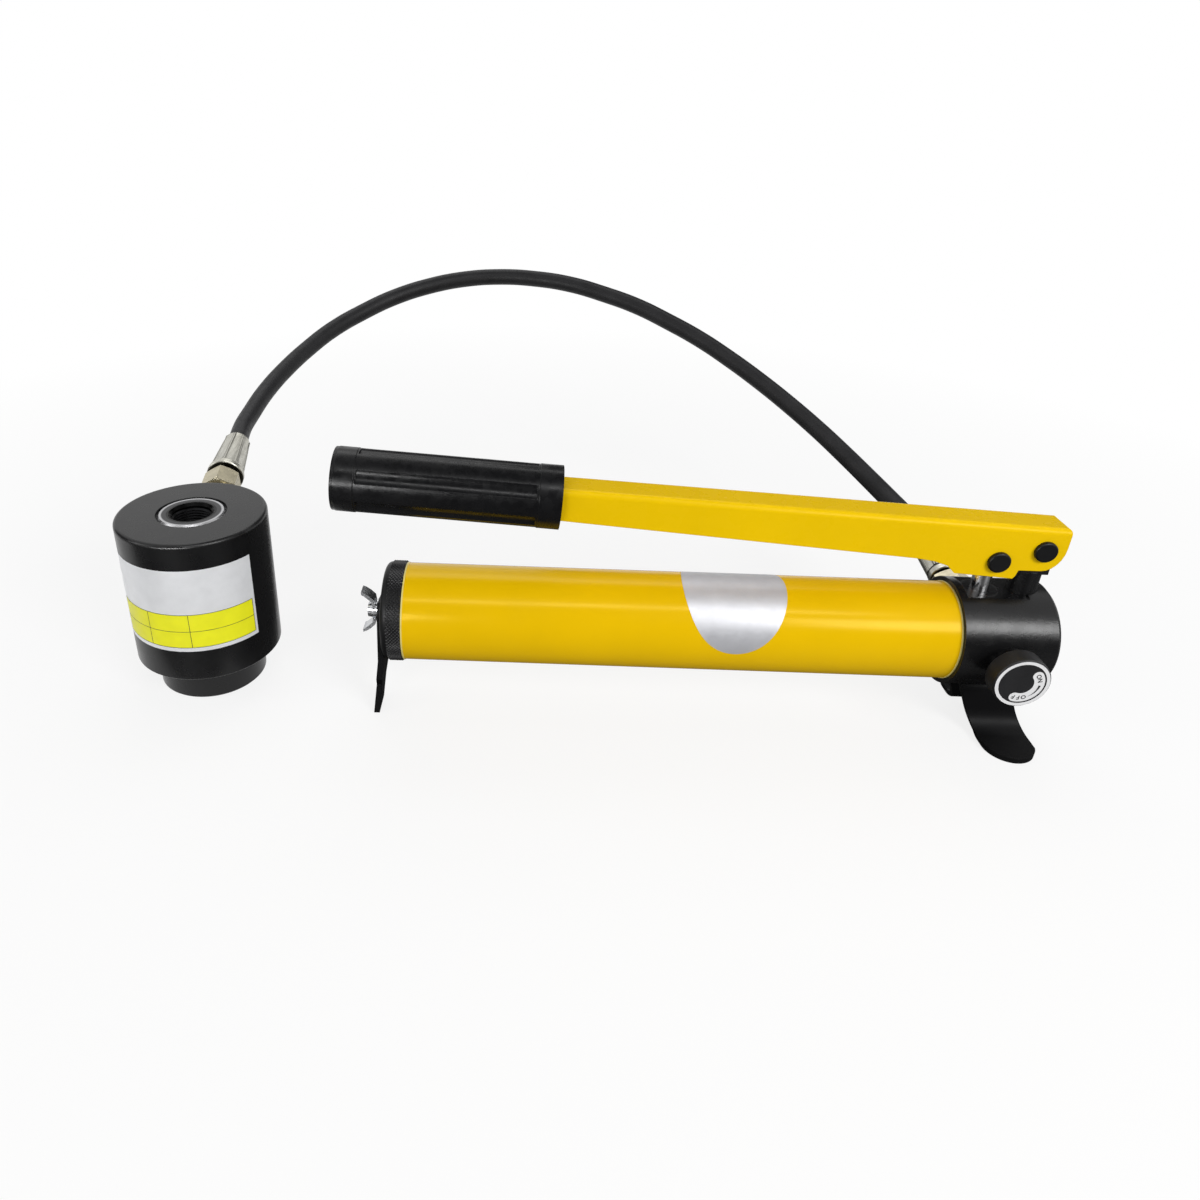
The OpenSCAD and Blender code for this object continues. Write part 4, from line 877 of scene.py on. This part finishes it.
class PUNCH_OT_inside(bpy.types.Operator):
    """Finish the seals and valves inside"""

    bl_idname = "punch.inside"
    bl_label = "Inner pieces"

    def execute(self, context):
        rubber = moulded("seal_rubber", (0.02, 0.02, 0.021), rough=0.5, skin=0.1, grains=1400)
        dress(
            rubber, "piston_seal", "rod_seal", "dust_wiper", "end_cap_o_ring", "head_o_ring", "plunger_seal",
            "stem_o_ring")
        steel = machined_metal("valve_steel", (0.32, 0.32, 0.34), rough=0.36)
        dress(steel, "relief_spring", "relief_screw", "suction_pipe")
        polished = machined_metal("ball_steel", (0.76, 0.76, 0.78), rough=0.1, mark=0.03)
        dress(polished, "suction_ball", "delivery_ball", "relief_ball")
        dress(machined_metal("valve_brass", (0.72, 0.52, 0.20), 0.3), "suction_filter", "suction_seat")
        return {"FINISHED"}


class PUNCH_OT_springs(bpy.types.Operator):
    """Wind the springs that the ram and the balls press together"""

    bl_idname = "punch.springs"
    bl_label = "Springs"

    def execute(self, context):
        sizes = context.scene.punch_sizes
        steel = machined_metal("spring_steel", (0.32, 0.32, 0.34), rough=0.36)
        ram_coil = (sizes.return_wire, sizes.return_turns)
        ball_coil = (sizes.valve_wire, sizes.valve_turns)
        # Each axis points from the end that moves to the end that is held
        for node, axis, (wire, turns), joint, travel in (
            ("return_spring", Vector((0, 0, -1)), ram_coil, "ram_stroke", RAM_TRAVEL),
            ("suction_spring", Vector((1, 0, 0)), ball_coil, "suction_ball_lift", BALL_LIFT),
            ("delivery_spring", PUMP_PORT[1], ball_coil, "delivery_ball_lift", BALL_LIFT),
        ):
            low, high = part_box(node)
            spread = high - low
            lengthwise = max(range(3), key=lambda index: abs(axis[index]))
            across = min(range(3), key=lambda index: abs(axis[index]))
            radius = spread[across] / 2
            lean = math.sqrt(max(0.0, 1 - axis[lengthwise] ** 2))
            length = (spread[lengthwise] - 2 * radius * lean) / abs(axis[lengthwise])
            held = (low + high) / 2 + axis * length / 2
            bm = bmesh.new()
            self.coil(bm, radius - wire / 2, wire / 2, turns, length)
            spring = piece(f"{node}_coil", bm, "base", steel, along(held - axis * length, axis))
            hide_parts(node)
            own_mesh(spring)
        return {"FINISHED"}

    def coil(self, bm, radius, half_wire, turns, length):
        """Round wire wound about Z, from z = 0 to its length."""
        steps, sides = 24 * turns, 8
        corners = [math.tau * index / sides for index in range(sides + 1)]
        start = chain(bm, [
            (radius + half_wire * math.cos(turn), 0, half_wire + half_wire * math.sin(turn))
            for turn in corners])
        spun(bm, start, math.tau * turns, steps, climb=(length - 2 * half_wire) / steps)
        bmesh.ops.remove_doubles(bm, verts=bm.verts, dist=1e-7)
        bmesh.ops.holes_fill(bm, edges=[edge for edge in bm.edges if edge.is_boundary])


STEPS = (
    PUNCH_OT_stage, PUNCH_OT_hose, PUNCH_OT_hose_fittings, PUNCH_OT_punch, PUNCH_OT_label, PUNCH_OT_tank,
    PUNCH_OT_end_cap, PUNCH_OT_lever, PUNCH_OT_head, PUNCH_OT_release_knob, PUNCH_OT_inside,
    PUNCH_OT_springs,
)


class PUNCH_PT_sidebar(bpy.types.Panel):
    """Lists the sizes, the colours and the steps"""

    bl_idname = "PUNCH_PT_sidebar"
    bl_label = "Hole Punch"
    bl_space_type = "VIEW_3D"
    bl_region_type = "UI"
    bl_category = "Hole Punch"

    def draw(self, context):
        for group in (context.scene.punch_sizes, context.scene.punch_colours):
            box = self.layout.box()
            for name in group.__annotations__:
                box.prop(group, name)
        for step in STEPS:
            self.layout.operator(step.bl_idname)


CLASSES = (PunchSizes, PunchColours, *STEPS, PUNCH_PT_sidebar)


def register():
    for cls in CLASSES:
        bpy.utils.register_class(cls)
    bpy.types.Scene.punch_sizes = PointerProperty(type=PunchSizes)
    bpy.types.Scene.punch_colours = PointerProperty(type=PunchColours)


def unregister():
    del bpy.types.Scene.punch_colours
    del bpy.types.Scene.punch_sizes
    for cls in reversed(CLASSES):
        bpy.utils.unregister_class(cls)


def main():
    """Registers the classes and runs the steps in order."""
    register()
    bpy.ops.punch.stage()
    bpy.ops.punch.hose()
    bpy.ops.punch.hose_fittings()
    bpy.ops.punch.punch()
    bpy.ops.punch.label()
    bpy.ops.punch.tank()
    bpy.ops.punch.end_cap()
    bpy.ops.punch.lever()
    bpy.ops.punch.head()
    bpy.ops.punch.release_knob()
    bpy.ops.punch.inside()
    bpy.ops.punch.springs()


if __name__ == "__main__":
    main()
